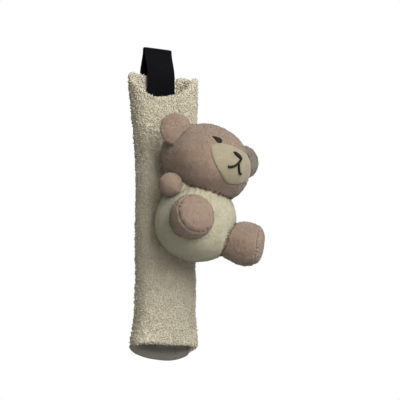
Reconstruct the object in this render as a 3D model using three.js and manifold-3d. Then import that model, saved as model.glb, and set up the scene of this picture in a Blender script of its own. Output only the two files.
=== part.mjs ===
// A soft shoulder pad for a seat belt: a padded fleece sleeve that wraps round the belt and closes down
// its back with hook and loop tape, a webbing loop over its upper mouth, and a small stuffed teddy bear
// sewn by its back to the front of the sleeve.
//
// Millimetres, +Z up along the belt, the bear looks along -Y, +X is the bear's left. The origin is the
// middle of the belt passage at the lower mouth.

import * as THREE from 'three';
import { mergeVertices } from 'three/addons/utils/BufferGeometryUtils.js';
import Module from 'manifold-3d';

const wasm = await Module();
wasm.setup();

// Clearance between pieces that touch or are sewn together
const CLEARANCE = 0.3;
const GROW_FOR_GAP = CLEARANCE * 1.15;

// Sleeve: a flat-backed soft tube, wider at both mouths
const SLEEVE_LENGTH = 286;
const HALF_THICKNESS = 17;
const WAIST_HALF_WIDTH = 37;
const TOP_FLARE = 8;
const TOP_FLARE_LENGTH = 92;
const BOTTOM_FLARE = 7;
const BOTTOM_FLARE_LENGTH = 56;
const MOUTH_DRIFT = -3;
const SECTION_POWER = 2.4;
const BACK_CROWN = 2.2;

// Mouths: the front edge of the top mouth dips, the back edge of the bottom mouth hangs as a lip
const TOP_DIP = 25;
const TOP_DIP_ANGLE = -115;
const TOP_DIP_SHARPNESS = 1.9;
const BOTTOM_LIP = 12.5;
const BOTTOM_RISE = 13;
const BOTTOM_LIP_ANGLE = 70;
const BOTTOM_LIP_SHARPNESS = 1.5;
const MOUTH_SPREAD = 0.9;

// Layers of the sleeve wall, from the outside in
const COVER_THICKNESS = 3;
const PADDING_THICKNESS = 4.1;
const LINING_THICKNESS = 1;
const HEM_WIDTH = 5;
const TOP_FACING = 24;
const LINING_SETBACK = 1;

// Closure down the back: a slit, and a flap with tapes inside it
const SLIT_ANGLE = 50;
const SLIT_GAP = 1;
const TAPE_WIDTH = 20;
const HOOK_TAPE_THICKNESS = 1.5;
const LOOP_TAPE_THICKNESS = 1.5;
const TAPE_START = 16;
const TAPE_TO_LOOP = 10;
const TAPE_CENTRE_X = 4;
const FLAP_THICKNESS = 1;
const FLAP_MARGIN = 4;

// Webbing loop over the back edge of the top mouth
const WEBBING_WIDTH = 38;
const WEBBING_THICKNESS = 1.5;
const LOOP_RISE = 27;
const LOOP_LEG_OVERLAP = 36;
const LOOP_SHOULDER = 3;
const LOOP_FOLD_GAP = 0.6;

// Bear's head, in its own frame: X to the bear's left, -Y forward, Z up. Its back is boxy, sewn on flat
const HEAD_CENTRE = [4, -54, 195.4];
const HEAD_HALF = [42, 40, 39];
const HEAD_CROWN = 35;
const HEAD_BACK_POWER = 3.2;
const HEAD_ROLL = 18;
const HEAD_YAW = 3;
const SNOUT_BULGE = 0.08;
const SNOUT_PITCH = -11;
const SNOUT_SPREAD = 36;
const JOWL_BULGE = 0.13;
const JOWL_TURN = 56;
const JOWL_PITCH = -28;
const JOWL_SPREAD = 30;

// Bear's ears
const EAR_RADIUS = 17;
const EAR_THICKNESS = 11;
const EAR_SPREAD = 44.5;
const EAR_HEIGHT = 16;
const EAR_SEAT_TURN = -11;
const RIGHT_EAR_TURN = -35;
const LEFT_EAR_TURN = -13;

// Face: a sewn-on muzzle patch with embroidered eyes, nose and mouth
const PATCH_THICKNESS = 1;
const MUZZLE_HALF_WIDTH = 31;
const MUZZLE_TOP = 11;
const MUZZLE_BOTTOM = -26;
const MUZZLE_CHEEK_LEVEL = -1;
const EYE_OFFSET = 25.8;
const EYE_HEIGHT = 11.5;
const EYE_LENGTH = 9.6;
const EYE_WIDTH = 6;
const EYE_SLANT = 17;
const NOSE_LENGTH = 12.5;
const NOSE_HEIGHT = 3.4;
const NOSE_ACROSS = -3.5;
const NOSE_LEVEL = 2.7;
const NOSE_THICKNESS = 2.4;
const MOUTH_THREAD_RADIUS = 0.9;
const MOUTH_HALF_WIDTH = 11;
const MOUTH_TOP = -1.5;
const MOUTH_DROP = 10.6;

// Bear's body, in its own frame
const BODY_CENTRE = [-4, -46, 134];
const BODY_HALF = [40.5, 34, 37.2];
const BODY_ROLL = 14;
const BODY_PLAN_POWER = 2.6;
const BODY_SIDE_POWER = 2.4;

// Arms: a short sleeve of suit cloth and a paw, from the shoulder to the tip
const SHOULDER_SPREAD = 22;
const SHOULDER_HEIGHT = 22;
const PAW_REACH = 33;
const PAW_RADIUS = 12.5;
const WRIST_AT = 15;
const WRIST_RADIUS = 11;
const SHOULDER_RADIUS = 9.5;
const RIGHT_ARM_FORWARD = 2;
const LEFT_ARM_FORWARD = -14;
const ARM_LIFT = 5.5;

// Legs: each runs from a root inside the body to the middle of its sole
const RIGHT_LEG_ROOT = [-30, -54, 131];
const RIGHT_SOLE = [-42, -87, 139.5];
const LEFT_LEG_ROOT = [14, -60, 117];
const LEFT_SOLE = [43, -89, 111];
const LEG_ROOT_RADIUS = 14;
const FOOT_RADIUS = 22;
const FOOT_TURN = 8;
const SOLE_RADIUS = 19.5;
const SOLE_THICKNESS = 4.4;

// Facets
const RING_STEPS = 32;
const LENGTH_STEPS = [0, 0.05, 0.12, 0.2, 0.45, 0.66, 0.8, 0.92, 1];
const HEAD_SEGMENTS = 30;
const HEAD_RINGS = 20;
const BODY_SEGMENTS = 28;
const BODY_RINGS = 16;
const LIMB_SEGMENTS = 20;

// Where the layers lie, as depths below the outer surface
const PADDING_INSET = COVER_THICKNESS + CLEARANCE;
const HEM_INSET = PADDING_INSET + PADDING_THICKNESS;
const LINING_INSET = HEM_INSET + CLEARANCE;
const PASSAGE_INSET = LINING_INSET + LINING_THICKNESS;
const PASSAGE_BACK = HALF_THICKNESS - PASSAGE_INSET;

// The tapes stop below the webbing loop
const TAPE_LENGTH = SLEEVE_LENGTH - LOOP_LEG_OVERLAP - TAPE_TO_LOOP - TAPE_START;

const { cos, sin, abs, sign, max, min, hypot, PI } = Math;
const radians = THREE.MathUtils.degToRad;

// Solids and meshes

// A closed solid from a three.js geometry, with its shared corners merged
function solid(geometry) {
  const bare = geometry.clone();
  bare.deleteAttribute('normal');
  bare.deleteAttribute('uv');
  const merged = mergeVertices(bare, 1e-4);
  const faces = [];
  const index = merged.index.array;
  for (let i = 0; i < index.length; i += 3) {
    const [a, b, c] = [index[i], index[i + 1], index[i + 2]];
    if (a !== b && b !== c && c !== a) faces.push(a, b, c);
  }
  const vertProperties = Float32Array.from(merged.attributes.position.array);
  const triVerts = Uint32Array.from(faces);
  const made = new wasm.Manifold(new wasm.Mesh({ numProp: 3, vertProperties, triVerts }));
  if (made.volume() > 0) return made;
  for (let i = 0; i < faces.length; i += 3) [triVerts[i], triVerts[i + 1]] = [faces[i + 1], faces[i]];
  return new wasm.Manifold(new wasm.Mesh({ numProp: 3, vertProperties, triVerts }));
}

// A named mesh from a solid
function piece(name, shape, material) {
  const { vertProperties, triVerts } = shape.getMesh();
  const geometry = new THREE.BufferGeometry();
  geometry.setAttribute('position', new THREE.BufferAttribute(vertProperties, 3));
  geometry.setIndex(new THREE.BufferAttribute(triVerts, 1));
  geometry.computeVertexNormals();
  const mesh = new THREE.Mesh(geometry, material);
  mesh.name = name;
  return mesh;
}

function finish(color, roughness) {
  return new THREE.MeshStandardMaterial({ color, roughness, metalness: 0 });
}

// A solid carried from a group's frame to the world, and back
function toWorld(shape, group) {
  group.updateWorldMatrix(true, false);
  return shape.transform(Array.from(group.matrixWorld.elements));
}

function toLocal(shape, group) {
  group.updateWorldMatrix(true, false);
  return shape.transform(Array.from(group.matrixWorld.clone().invert().elements));
}

// A solid in a group's frame, less solids that are given in the world
function cutInGroup(shape, group, cutters) {
  let cut = toWorld(shape, group);
  for (const cutter of cutters) cut = cut.subtract(cutter);
  return toLocal(largest(cut), group);
}

// Of what a cut leaves, the main body
function largest(shape) {
  const bodies = shape.decompose();
  return bodies.reduce((best, body) => (body.volume() > best.volume() ? body : best), bodies[0]);
}

// Sleeve

function smoothRise(t) {
  const s = THREE.MathUtils.clamp(t, 0, 1);
  return s * s * (3 - 2 * s);
}

function topFlareAt(z) {
  return smoothRise((z - (SLEEVE_LENGTH - TOP_FLARE_LENGTH)) / TOP_FLARE_LENGTH);
}

function bottomFlareAt(z) {
  return smoothRise((BOTTOM_FLARE_LENGTH - z) / BOTTOM_FLARE_LENGTH);
}

function halfWidthAt(z) {
  return WAIST_HALF_WIDTH + TOP_FLARE * topFlareAt(z) + BOTTOM_FLARE * bottomFlareAt(z);
}

// A point of the sleeve's section at a height, a depth below its outer surface
function sectionPoint(angle, z, inset) {
  const [c, s] = [cos(angle), sin(angle)];
  const power = 2 / SECTION_POWER;
  const drift = MOUTH_DRIFT * (topFlareAt(z) + bottomFlareAt(z));
  const halfDepth = HALF_THICKNESS + (s > 0 ? BACK_CROWN : 0) - inset;
  const x = (halfWidthAt(z) - inset) * sign(c) * abs(c) ** power + drift;
  const y = min(halfDepth * sign(s) * abs(s) ** power, HALF_THICKNESS - inset);
  return [x, y];
}

// How much of a mouth's dip or lip is reached at an angle round the sleeve
function mouthShare(angle, centre, sharpness) {
  const turn = THREE.MathUtils.euclideanModulo(angle - radians(centre) + PI, 2 * PI) - PI;
  const reach = MOUTH_SPREAD * turn;
  return abs(reach) < PI / 2 ? cos(reach) ** sharpness : 0;
}

function topEdgeAt(angle) {
  return SLEEVE_LENGTH - TOP_DIP * mouthShare(angle, TOP_DIP_ANGLE, TOP_DIP_SHARPNESS);
}

function bottomEdgeAt(angle) {
  return BOTTOM_RISE - BOTTOM_LIP * mouthShare(angle, BOTTOM_LIP_ANGLE, BOTTOM_LIP_SHARPNESS);
}

// Heights up one wall at an angle, the first and last held back from the mouths by setbacks
function heightsAt(angle, lowSetback, topSetback) {
  const low = bottomEdgeAt(angle);
  const high = topEdgeAt(angle);
  return LENGTH_STEPS.map((share) => {
    const height = low + share * (high - low);
    return THREE.MathUtils.clamp(height, low + lowSetback, high - topSetback);
  });
}

// A closed outline of height and depth, carried round the sleeve from one side of the slit to the other
function wrappedWall(outlineAt) {
  const slit = radians(SLIT_ANGLE);
  const halfSlit = SLIT_GAP / 2 / WAIST_HALF_WIDTH;
  const sweep = 2 * PI - 2 * halfSlit;
  const positions = [];
  const faces = [];
  let count = 0;
  for (let i = 0; i <= RING_STEPS; i++) {
    const angle = slit + halfSlit + (sweep * i) / RING_STEPS;
    const outline = outlineAt(angle);
    count = outline.length;
    for (const [z, inset] of outline) positions.push(...sectionPoint(angle, z, inset), z);
  }
  // Every square is split from low on its far side to high on its near side, so that layers nest
  const isRising = outlineAt(slit).map(([z, inset], k, all) => {
    const [nextZ, nextInset] = all[(k + 1) % all.length];
    return nextZ === z ? nextInset > inset : nextZ > z;
  });
  for (let i = 0; i < RING_STEPS; i++) {
    for (let k = 0; k < count; k++) {
      const [a, b] = [i * count + k, i * count + ((k + 1) % count)];
      if (isRising[k]) faces.push(a, a + count, b, b, a + count, b + count);
      else faces.push(a, a + count, b + count, a, b + count, b);
    }
  }
  const flat = outlineAt(slit).map(([z, inset]) => new THREE.Vector2(z, inset));
  const last = RING_STEPS * count;
  for (const [a, b, c] of THREE.ShapeUtils.triangulateShape(flat, [])) {
    faces.push(a, b, c, last + a, last + c, last + b);
  }
  const geometry = new THREE.BufferGeometry();
  geometry.setAttribute('position', new THREE.Float32BufferAttribute(positions, 3));
  geometry.setIndex(faces);
  return solid(geometry);
}

// One plain layer of the wall between two depths
function layer(outer, inner, lowSetback, topSetback) {
  return wrappedWall((angle) => {
    const heights = heightsAt(angle, lowSetback, topSetback);
    return [...heights.map((z) => [z, outer]), ...heights.reverse().map((z) => [z, inner])];
  });
}

// The pile cover, turned in over the padding: a narrow hem below and a deep pile facing at the top
function coverWall() {
  return wrappedWall((angle) => {
    const outside = heightsAt(angle, 0, 0);
    const inside = heightsAt(angle, HEM_WIDTH, TOP_FACING).reverse();
    const [low, high] = [outside[0], outside[outside.length - 1]];
    return [
      ...outside.map((z) => [z, 0]),
      [high, HEM_INSET],
      [high - TOP_FACING, HEM_INSET],
      ...inside.map((z) => [z, COVER_THICKNESS]),
      [low + HEM_WIDTH, HEM_INSET],
      [low, HEM_INSET],
    ];
  });
}

// The padding, which fills what the cover leaves
function paddingWall() {
  return layer(PADDING_INSET, HEM_INSET - CLEARANCE, HEM_WIDTH + CLEARANCE, TOP_FACING + CLEARANCE);
}

// The lining, from near the lower edge up to the facing's edge
function liningWall() {
  return layer(LINING_INSET, PASSAGE_INSET, LINING_SETBACK, TOP_FACING - LINING_SETBACK);
}

// The whole sleeve as one plug, a little larger, that cuts what is sewn against it
function sleevePlug() {
  const positions = [];
  const faces = [];
  const heights = LENGTH_STEPS.map((share) => share * SLEEVE_LENGTH);
  for (const z of heights) {
    for (let i = 0; i < RING_STEPS; i++) {
      const angle = radians(SLIT_ANGLE) + (2 * PI * i) / RING_STEPS;
      positions.push(...sectionPoint(angle, z, -GROW_FOR_GAP), z);
    }
  }
  for (let j = 0; j + 1 < heights.length; j++) {
    for (let i = 0; i < RING_STEPS; i++) {
      const [a, b] = [j * RING_STEPS + i, j * RING_STEPS + ((i + 1) % RING_STEPS)];
      faces.push(a, b, a + RING_STEPS, b, b + RING_STEPS, a + RING_STEPS);
    }
  }
  const last = (heights.length - 1) * RING_STEPS;
  for (let i = 1; i + 1 < RING_STEPS; i++) faces.push(0, i + 1, i, last, last + i, last + i + 1);
  const geometry = new THREE.BufferGeometry();
  geometry.setAttribute('position', new THREE.Float32BufferAttribute(positions, 3));
  geometry.setIndex(faces);
  return solid(geometry);
}

// Closure

const HOOK_TAPE_FACE = PASSAGE_BACK - CLEARANCE;
const LOOP_TAPE_FACE = HOOK_TAPE_FACE - HOOK_TAPE_THICKNESS - CLEARANCE;
const FLAP_FACE = LOOP_TAPE_FACE - LOOP_TAPE_THICKNESS - CLEARANCE;

// A tape that lies flat inside the back wall, its outer face at a depth
function tape(face, thickness) {
  const box = new THREE.BoxGeometry(TAPE_WIDTH, thickness, TAPE_LENGTH);
  box.translate(TAPE_CENTRE_X, face - thickness / 2, TAPE_START + TAPE_LENGTH / 2);
  return solid(box);
}

// Where the passage wall, right of the slit, is as deep as the flap's outer face
function flapSeamAt(z) {
  const reach = (FLAP_FACE + CLEARANCE) / (HALF_THICKNESS + BACK_CROWN - PASSAGE_INSET);
  const angle = Math.asin(reach ** (SECTION_POWER / 2));
  return sectionPoint(angle, z, PASSAGE_INSET)[0] - CLEARANCE;
}

// The flap under the slit, sewn to the lining along its right edge
function closureFlap() {
  const low = TAPE_START - FLAP_MARGIN;
  const high = TAPE_START + TAPE_LENGTH + FLAP_MARGIN;
  const left = TAPE_CENTRE_X - TAPE_WIDTH / 2 - FLAP_MARGIN;
  const steps = LENGTH_STEPS.map((share) => low + share * (high - low));
  const outline = new THREE.Shape([
    new THREE.Vector2(left, low),
    ...steps.map((z) => new THREE.Vector2(flapSeamAt(z), z)),
    new THREE.Vector2(left, high),
  ]);
  const sheet = new THREE.ExtrudeGeometry(outline, { depth: FLAP_THICKNESS, bevelEnabled: false });
  sheet.rotateX(PI / 2);
  sheet.translate(0, FLAP_FACE, 0);
  return solid(sheet);
}

// Webbing loop

// The loop's middle line in the plane of depth and height, from inside the passage over to the back
function loopLine() {
  const half = WEBBING_THICKNESS / 2;
  const inside = PASSAGE_BACK - CLEARANCE - half;
  const outside = HALF_THICKNESS + CLEARANCE + half;
  const fold = half + LOOP_FOLD_GAP / 2;
  const middle = (inside + outside) / 2;
  const top = SLEEVE_LENGTH + LOOP_RISE - half - fold;
  const low = SLEEVE_LENGTH - LOOP_LEG_OVERLAP;
  const shoulder = SLEEVE_LENGTH + LOOP_SHOULDER;
  const folds = [180, 135, 90, 45, 0].map((turn) => [
    middle + fold * cos(radians(turn)),
    top + fold * sin(radians(turn)),
  ]);
  return [[inside, low], [inside, shoulder], ...folds, [outside, shoulder], [outside, low]];
}

// The webbing, as its middle line thickened and drawn out to its width
function strapLoop() {
  const line = loopLine().map(([y, z]) => new THREE.Vector2(y, z));
  const side = (offset) =>
    line.map((point, i) => {
      const before = line[max(i - 1, 0)];
      const after = line[min(i + 1, line.length - 1)];
      const into = point.clone().sub(before).normalize();
      const out = after.clone().sub(point).normalize();
      const along = into.add(out).normalize();
      return new THREE.Vector2(point.x - along.y * offset, point.y + along.x * offset);
    });
  const half = WEBBING_THICKNESS / 2;
  const outline = new THREE.Shape([...side(half), ...side(-half).reverse()]);
  const webbing = new THREE.ExtrudeGeometry(outline, { depth: WEBBING_WIDTH, bevelEnabled: false });
  const upright = new THREE.Matrix4().makeBasis(
    new THREE.Vector3(0, 1, 0),
    new THREE.Vector3(0, 0, 1),
    new THREE.Vector3(1, 0, 0),
  );
  webbing.applyMatrix4(upright);
  webbing.translate(-WEBBING_WIDTH / 2, 0, 0);
  return solid(webbing);
}

// Bear's head

function directionAt(turn, pitch) {
  const level = cos(radians(pitch));
  return new THREE.Vector3(sin(radians(turn)) * level, -cos(radians(turn)) * level, sin(radians(pitch)));
}

const HEAD_BULGES = [
  { towards: directionAt(0, SNOUT_PITCH), height: SNOUT_BULGE, spread: radians(SNOUT_SPREAD) },
  { towards: directionAt(JOWL_TURN, JOWL_PITCH), height: JOWL_BULGE, spread: radians(JOWL_SPREAD) },
  { towards: directionAt(-JOWL_TURN, JOWL_PITCH), height: JOWL_BULGE, spread: radians(JOWL_SPREAD) },
];

// The head's size from its middle along a direction
function headRadius(direction) {
  const [a, b, c] = HEAD_HALF;
  const power = direction.y > 0 ? HEAD_BACK_POWER : 2;
  const plan = (abs(direction.x / a) ** power + abs(direction.y / b) ** power) ** (2 / power);
  const plain = 1 / hypot(plan ** 0.5, direction.z / (direction.z > 0 ? HEAD_CROWN : c));
  const swell = HEAD_BULGES.reduce(
    (sum, bulge) => sum + bulge.height * Math.exp(-((direction.angleTo(bulge.towards) / bulge.spread) ** 2)),
    0,
  );
  return plain * (1 + swell);
}

// The body's size from its middle along a direction
function bodyRadius(direction) {
  const [a, b, c] = BODY_HALF;
  const plan = abs(direction.x / a) ** BODY_PLAN_POWER + abs(direction.y / b) ** BODY_PLAN_POWER;
  const whole = plan ** (BODY_SIDE_POWER / BODY_PLAN_POWER) + abs(direction.z / c) ** BODY_SIDE_POWER;
  return whole ** (-1 / BODY_SIDE_POWER);
}

// A ball whose size follows a rule for each direction, with its poles up and down
function modelledBall(radiusOf, grow, segments, rings) {
  const ball = new THREE.SphereGeometry(1, segments, rings);
  ball.rotateX(PI / 2);
  const position = ball.attributes.position;
  const direction = new THREE.Vector3();
  for (let i = 0; i < position.count; i++) {
    direction.fromBufferAttribute(position, i).normalize();
    direction.multiplyScalar(radiusOf(direction) + grow);
    position.setXYZ(i, direction.x, direction.y, direction.z);
  }
  return solid(ball);
}

function headBall(grow) {
  return modelledBall(headRadius, grow, HEAD_SEGMENTS, HEAD_RINGS);
}

function bodyBall(grow) {
  return modelledBall(bodyRadius, grow, BODY_SEGMENTS, BODY_RINGS);
}

// A point in front of the face, at a place across and up it and a distance off its cloth
function facePoint(across, up, off) {
  let [near, far] = [0, 2 * HEAD_HALF[1]];
  const point = new THREE.Vector3();
  for (let i = 0; i < 30; i++) {
    const forward = (near + far) / 2;
    point.set(across, -forward, up);
    if (point.length() > headRadius(point.clone().normalize()) + off) far = forward;
    else near = forward;
  }
  return point;
}

// Cloth of the patch thickness that lies on the face inside a drawn outline
function facePatch(outline, lift) {
  const prism = new THREE.ExtrudeGeometry(outline, {
    depth: 2 * HEAD_HALF[1],
    bevelEnabled: false,
    curveSegments: 10,
  });
  prism.rotateX(PI / 2);
  const cloth = headBall(lift + PATCH_THICKNESS).subtract(headBall(lift));
  return largest(cloth.intersect(solid(prism)));
}

function muzzleOutline() {
  const [wide, level] = [MUZZLE_HALF_WIDTH, MUZZLE_CHEEK_LEVEL];
  const outline = new THREE.Shape();
  outline.moveTo(0, MUZZLE_BOTTOM);
  outline.bezierCurveTo(0.4 * wide, MUZZLE_BOTTOM + 1, wide, 0.55 * MUZZLE_BOTTOM, wide, level);
  outline.bezierCurveTo(wide, 0.7 * MUZZLE_TOP, 0.62 * wide, MUZZLE_TOP + 1, 0, MUZZLE_TOP);
  outline.bezierCurveTo(-0.62 * wide, MUZZLE_TOP + 1, -wide, 0.7 * MUZZLE_TOP, -wide, level);
  outline.bezierCurveTo(-wide, 0.55 * MUZZLE_BOTTOM, -0.4 * wide, MUZZLE_BOTTOM + 1, 0, MUZZLE_BOTTOM);
  return outline;
}

// A pointed oval, its inner end lower. The side is -1 for the bear's right and 1 for its left
function eyeOutline(side) {
  const half = EYE_LENGTH / 2;
  const slant = -side * radians(EYE_SLANT);
  const turn = (x, y) => [
    side * EYE_OFFSET + x * cos(-slant) - y * sin(-slant),
    EYE_HEIGHT + x * sin(-slant) + y * cos(-slant),
  ];
  const outline = new THREE.Shape();
  outline.moveTo(...turn(-half, 0));
  outline.quadraticCurveTo(...turn(0, EYE_WIDTH), ...turn(half, 0));
  outline.quadraticCurveTo(...turn(0, -EYE_WIDTH), ...turn(-half, 0));
  return outline;
}

const ON_PATCH = GROW_FOR_GAP + PATCH_THICKNESS + CLEARANCE;

// The padded bar of satin stitch that is the nose
function noseBar() {
  const bar = new THREE.SphereGeometry(1, 14, 8);
  bar.scale(NOSE_LENGTH / 2, NOSE_THICKNESS, NOSE_HEIGHT / 2);
  const seat = facePoint(NOSE_ACROSS, NOSE_LEVEL, ON_PATCH);
  bar.translate(seat.x, seat.y, seat.z);
  return largest(solid(bar).subtract(headBall(ON_PATCH)));
}

// One arm of the mouth: a thread from below the nose, down and out to a side
function mouthThread(side) {
  const reach = (share) => side * (MOUTH_THREAD_RADIUS * 1.5 + share * MOUTH_HALF_WIDTH);
  const level = (share) => MOUTH_TOP - share * MOUTH_DROP;
  const off = ON_PATCH + MOUTH_THREAD_RADIUS * 1.05;
  const line = new THREE.CatmullRomCurve3([
    facePoint(reach(0), level(0), off),
    facePoint(reach(0.02), level(0.4), off),
    facePoint(reach(0.28), level(0.86), off),
    facePoint(reach(0.58), level(1.02), off),
    facePoint(reach(0.9), level(0.97), off),
  ]);
  const section = new THREE.Shape();
  section.absarc(0, 0, MOUTH_THREAD_RADIUS, 0, 2 * PI);
  const thread = new THREE.ExtrudeGeometry(section, {
    steps: 12,
    curveSegments: 6,
    extrudePath: line,
    bevelEnabled: false,
  });
  return solid(thread);
}

// An ear: a flat stuffed disc, its face turned, on a seat that the squashed head carries round a little
function earDisc(side, turn) {
  const disc = new THREE.SphereGeometry(1, 20, 12);
  disc.rotateX(PI / 2);
  disc.scale(EAR_RADIUS, EAR_THICKNESS / 2, EAR_RADIUS);
  disc.rotateZ(radians(turn - EAR_SEAT_TURN));
  disc.translate(side * EAR_SPREAD, 0, EAR_HEIGHT);
  disc.rotateZ(radians(EAR_SEAT_TURN));
  return solid(disc);
}

// Limbs

// A solid turned about its own Z from points of radius and height
function turned(profile, segments) {
  const points = profile.map(([radius, height]) => new THREE.Vector2(radius, height));
  const lathe = new THREE.LatheGeometry(points, segments);
  lathe.rotateX(PI / 2);
  return solid(lathe);
}

// A group that stands at one point with its Z axis towards another
function limbGroup(from, to) {
  const group = new THREE.Group();
  const start = new THREE.Vector3(...from);
  const axis = new THREE.Vector3(...to).sub(start).normalize();
  group.position.copy(start);
  group.quaternion.setFromUnitVectors(new THREE.Vector3(0, 0, 1), axis);
  return group;
}

// The arm's sleeve, from inside the shoulder to the wrist seam
function armSleeve() {
  return turned(
    [[0, 0], [SHOULDER_RADIUS, 0], [WRIST_RADIUS, WRIST_AT], [0, WRIST_AT]],
    LIMB_SEGMENTS,
  );
}

// The paw, a round end from the wrist seam to the tip
function pawEnd() {
  const start = WRIST_AT + CLEARANCE;
  const middle = PAW_REACH - PAW_RADIUS;
  const profile = [[0, start], [WRIST_RADIUS, start]];
  for (const pitch of [0, 22, 45, 68]) {
    profile.push([PAW_RADIUS * cos(radians(pitch)), middle + PAW_RADIUS * sin(radians(pitch))]);
  }
  profile.push([0, PAW_REACH]);
  return turned(profile, LIMB_SEGMENTS);
}

// A leg that widens into the foot and turns in round the edge of its sole
function footBand(length) {
  return turned(
    [
      [0, 0],
      [LEG_ROOT_RADIUS, 0],
      [(LEG_ROOT_RADIUS + FOOT_RADIUS) / 2, 0.4 * (length - FOOT_TURN)],
      [0.97 * FOOT_RADIUS, 0.75 * (length - FOOT_TURN)],
      [FOOT_RADIUS, length - FOOT_TURN],
      [0.95 * FOOT_RADIUS, length - 0.4 * FOOT_TURN],
      [SOLE_RADIUS + CLEARANCE, length],
      [0, length],
    ],
    LIMB_SEGMENTS,
  );
}

// The sole panel, a crowned disc on the end of the foot
function solePanel(length) {
  const seat = length + CLEARANCE;
  return turned(
    [
      [0, seat],
      [SOLE_RADIUS, seat],
      [0.88 * SOLE_RADIUS, seat + 0.46 * SOLE_THICKNESS],
      [0.55 * SOLE_RADIUS, seat + 0.86 * SOLE_THICKNESS],
      [0, seat + SOLE_THICKNESS],
    ],
    LIMB_SEGMENTS,
  );
}

// The whole pad

function sleeveGroup() {
  const group = new THREE.Group();
  group.add(
    piece('sleeve_cover', coverWall(), finish(0xc9c1a9, 0.95)),
    piece('sleeve_padding', paddingWall(), finish(0xe8e6df, 1)),
    piece('sleeve_lining', liningWall(), finish(0x66625c, 0.85)),
    piece('closure_flap', closureFlap(), finish(0x66625c, 0.85)),
    piece('hook_tape', tape(HOOK_TAPE_FACE, HOOK_TAPE_THICKNESS), finish(0xbdb59e, 0.7)),
    piece('loop_tape', tape(LOOP_TAPE_FACE, LOOP_TAPE_THICKNESS), finish(0xbdb59e, 0.95)),
    piece('strap_loop', strapLoop(), finish(0x17181a, 0.6)),
  );
  return group;
}

function bearGroup() {
  const plush = finish(0x94826f, 0.95);
  const suit = finish(0xc2bb9f, 0.95);
  const thread = finish(0x241710, 0.5);
  const group = new THREE.Group();
  const head = new THREE.Group();
  const body = new THREE.Group();
  head.position.set(...HEAD_CENTRE);
  head.rotation.set(0, radians(HEAD_ROLL), radians(HEAD_YAW), 'YZX');
  body.position.set(...BODY_CENTRE);
  body.rotation.y = radians(BODY_ROLL);
  group.add(head, body);

  const sleeve = sleevePlug();
  const headKeepOut = toWorld(headBall(GROW_FOR_GAP), head);
  const bodyKeepOut = toWorld(bodyBall(GROW_FOR_GAP), body);

  body.add(piece('bear_body', cutInGroup(bodyBall(0), body, [sleeve, headKeepOut]), suit));
  head.add(
    piece('bear_head', cutInGroup(headBall(0), head, [sleeve]), plush),
    piece('muzzle_patch', facePatch(muzzleOutline(), GROW_FOR_GAP), finish(0xc4bba0, 0.95)),
    piece('nose', noseBar(), thread),
  );
  for (const [side, name, earTurn, armForward] of [
    [-1, 'right', RIGHT_EAR_TURN, RIGHT_ARM_FORWARD],
    [1, 'left', LEFT_EAR_TURN, LEFT_ARM_FORWARD],
  ]) {
    head.add(
      piece(`ear_${name}`, cutInGroup(earDisc(side, earTurn), head, [headKeepOut]), plush),
      piece(`eye_${name}`, facePatch(eyeOutline(side), GROW_FOR_GAP), thread),
      piece(`mouth_thread_${name}`, mouthThread(side), thread),
    );
    const shoulder = [side * SHOULDER_SPREAD, 0, SHOULDER_HEIGHT];
    const tip = [side * (SHOULDER_SPREAD + PAW_REACH), -armForward, SHOULDER_HEIGHT + ARM_LIFT];
    const arm = limbGroup(shoulder, tip);
    body.add(arm);
    arm.add(
      piece(`arm_${name}`, cutInGroup(armSleeve(), arm, [bodyKeepOut, headKeepOut]), suit),
      piece(`paw_${name}`, cutInGroup(pawEnd(), arm, [bodyKeepOut, headKeepOut]), plush),
    );
  }
  for (const [name, root, sole] of [
    ['right', RIGHT_LEG_ROOT, RIGHT_SOLE],
    ['left', LEFT_LEG_ROOT, LEFT_SOLE],
  ]) {
    const leg = limbGroup(root, sole);
    const length = new THREE.Vector3(...sole).distanceTo(new THREE.Vector3(...root)) - SOLE_THICKNESS;
    group.add(leg);
    leg.add(
      piece(`leg_${name}`, cutInGroup(footBand(length), leg, [bodyKeepOut]), plush),
      piece(`sole_${name}`, solePanel(length), finish(0xa39283, 0.95)),
    );
  }
  return group;
}

const shoulderPad = new THREE.Group();
shoulderPad.add(sleeveGroup(), bearGroup());

export default shoulderPad;
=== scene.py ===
"""The looks of a padded seat belt sleeve with a stuffed teddy bear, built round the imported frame.

Lengths are millimetres until a mesh is made. +Z runs up the belt and the bear looks along -Y.
"""
import logging
import math
from dataclasses import dataclass
from enum import Enum
from functools import partial
from typing import Callable, Sequence

import bmesh
import bpy
import numpy as np
from mathutils import Matrix, Vector, noise
from mathutils.bvhtree import BVHTree
from mathutils.kdtree import KDTree


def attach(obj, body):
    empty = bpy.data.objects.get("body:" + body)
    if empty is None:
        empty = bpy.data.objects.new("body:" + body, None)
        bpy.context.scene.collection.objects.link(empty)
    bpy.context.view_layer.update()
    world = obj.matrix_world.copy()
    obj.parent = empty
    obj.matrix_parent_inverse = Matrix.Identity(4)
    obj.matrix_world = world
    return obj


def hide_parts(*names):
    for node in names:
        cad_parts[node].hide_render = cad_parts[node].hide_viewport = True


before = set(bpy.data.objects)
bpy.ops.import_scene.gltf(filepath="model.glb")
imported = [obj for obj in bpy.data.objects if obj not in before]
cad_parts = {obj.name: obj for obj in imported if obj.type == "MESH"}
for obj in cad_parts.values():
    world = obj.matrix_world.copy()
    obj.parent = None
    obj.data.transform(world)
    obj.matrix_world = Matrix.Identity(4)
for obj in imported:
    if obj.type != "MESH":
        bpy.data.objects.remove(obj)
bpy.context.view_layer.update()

log = logging.getLogger("shoulder_pad")

MM = 0.001
BODY = "root"
SIDES = (("right", -1), ("left", 1))

Piece = bpy.types.Object
Material = bpy.types.Material
Node = bpy.types.Node
Socket = bpy.types.NodeSocket
NodeTree = bpy.types.NodeTree
Points = Sequence[Sequence[float]]
Section = tuple[np.ndarray, np.ndarray]


# Small helpers


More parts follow.
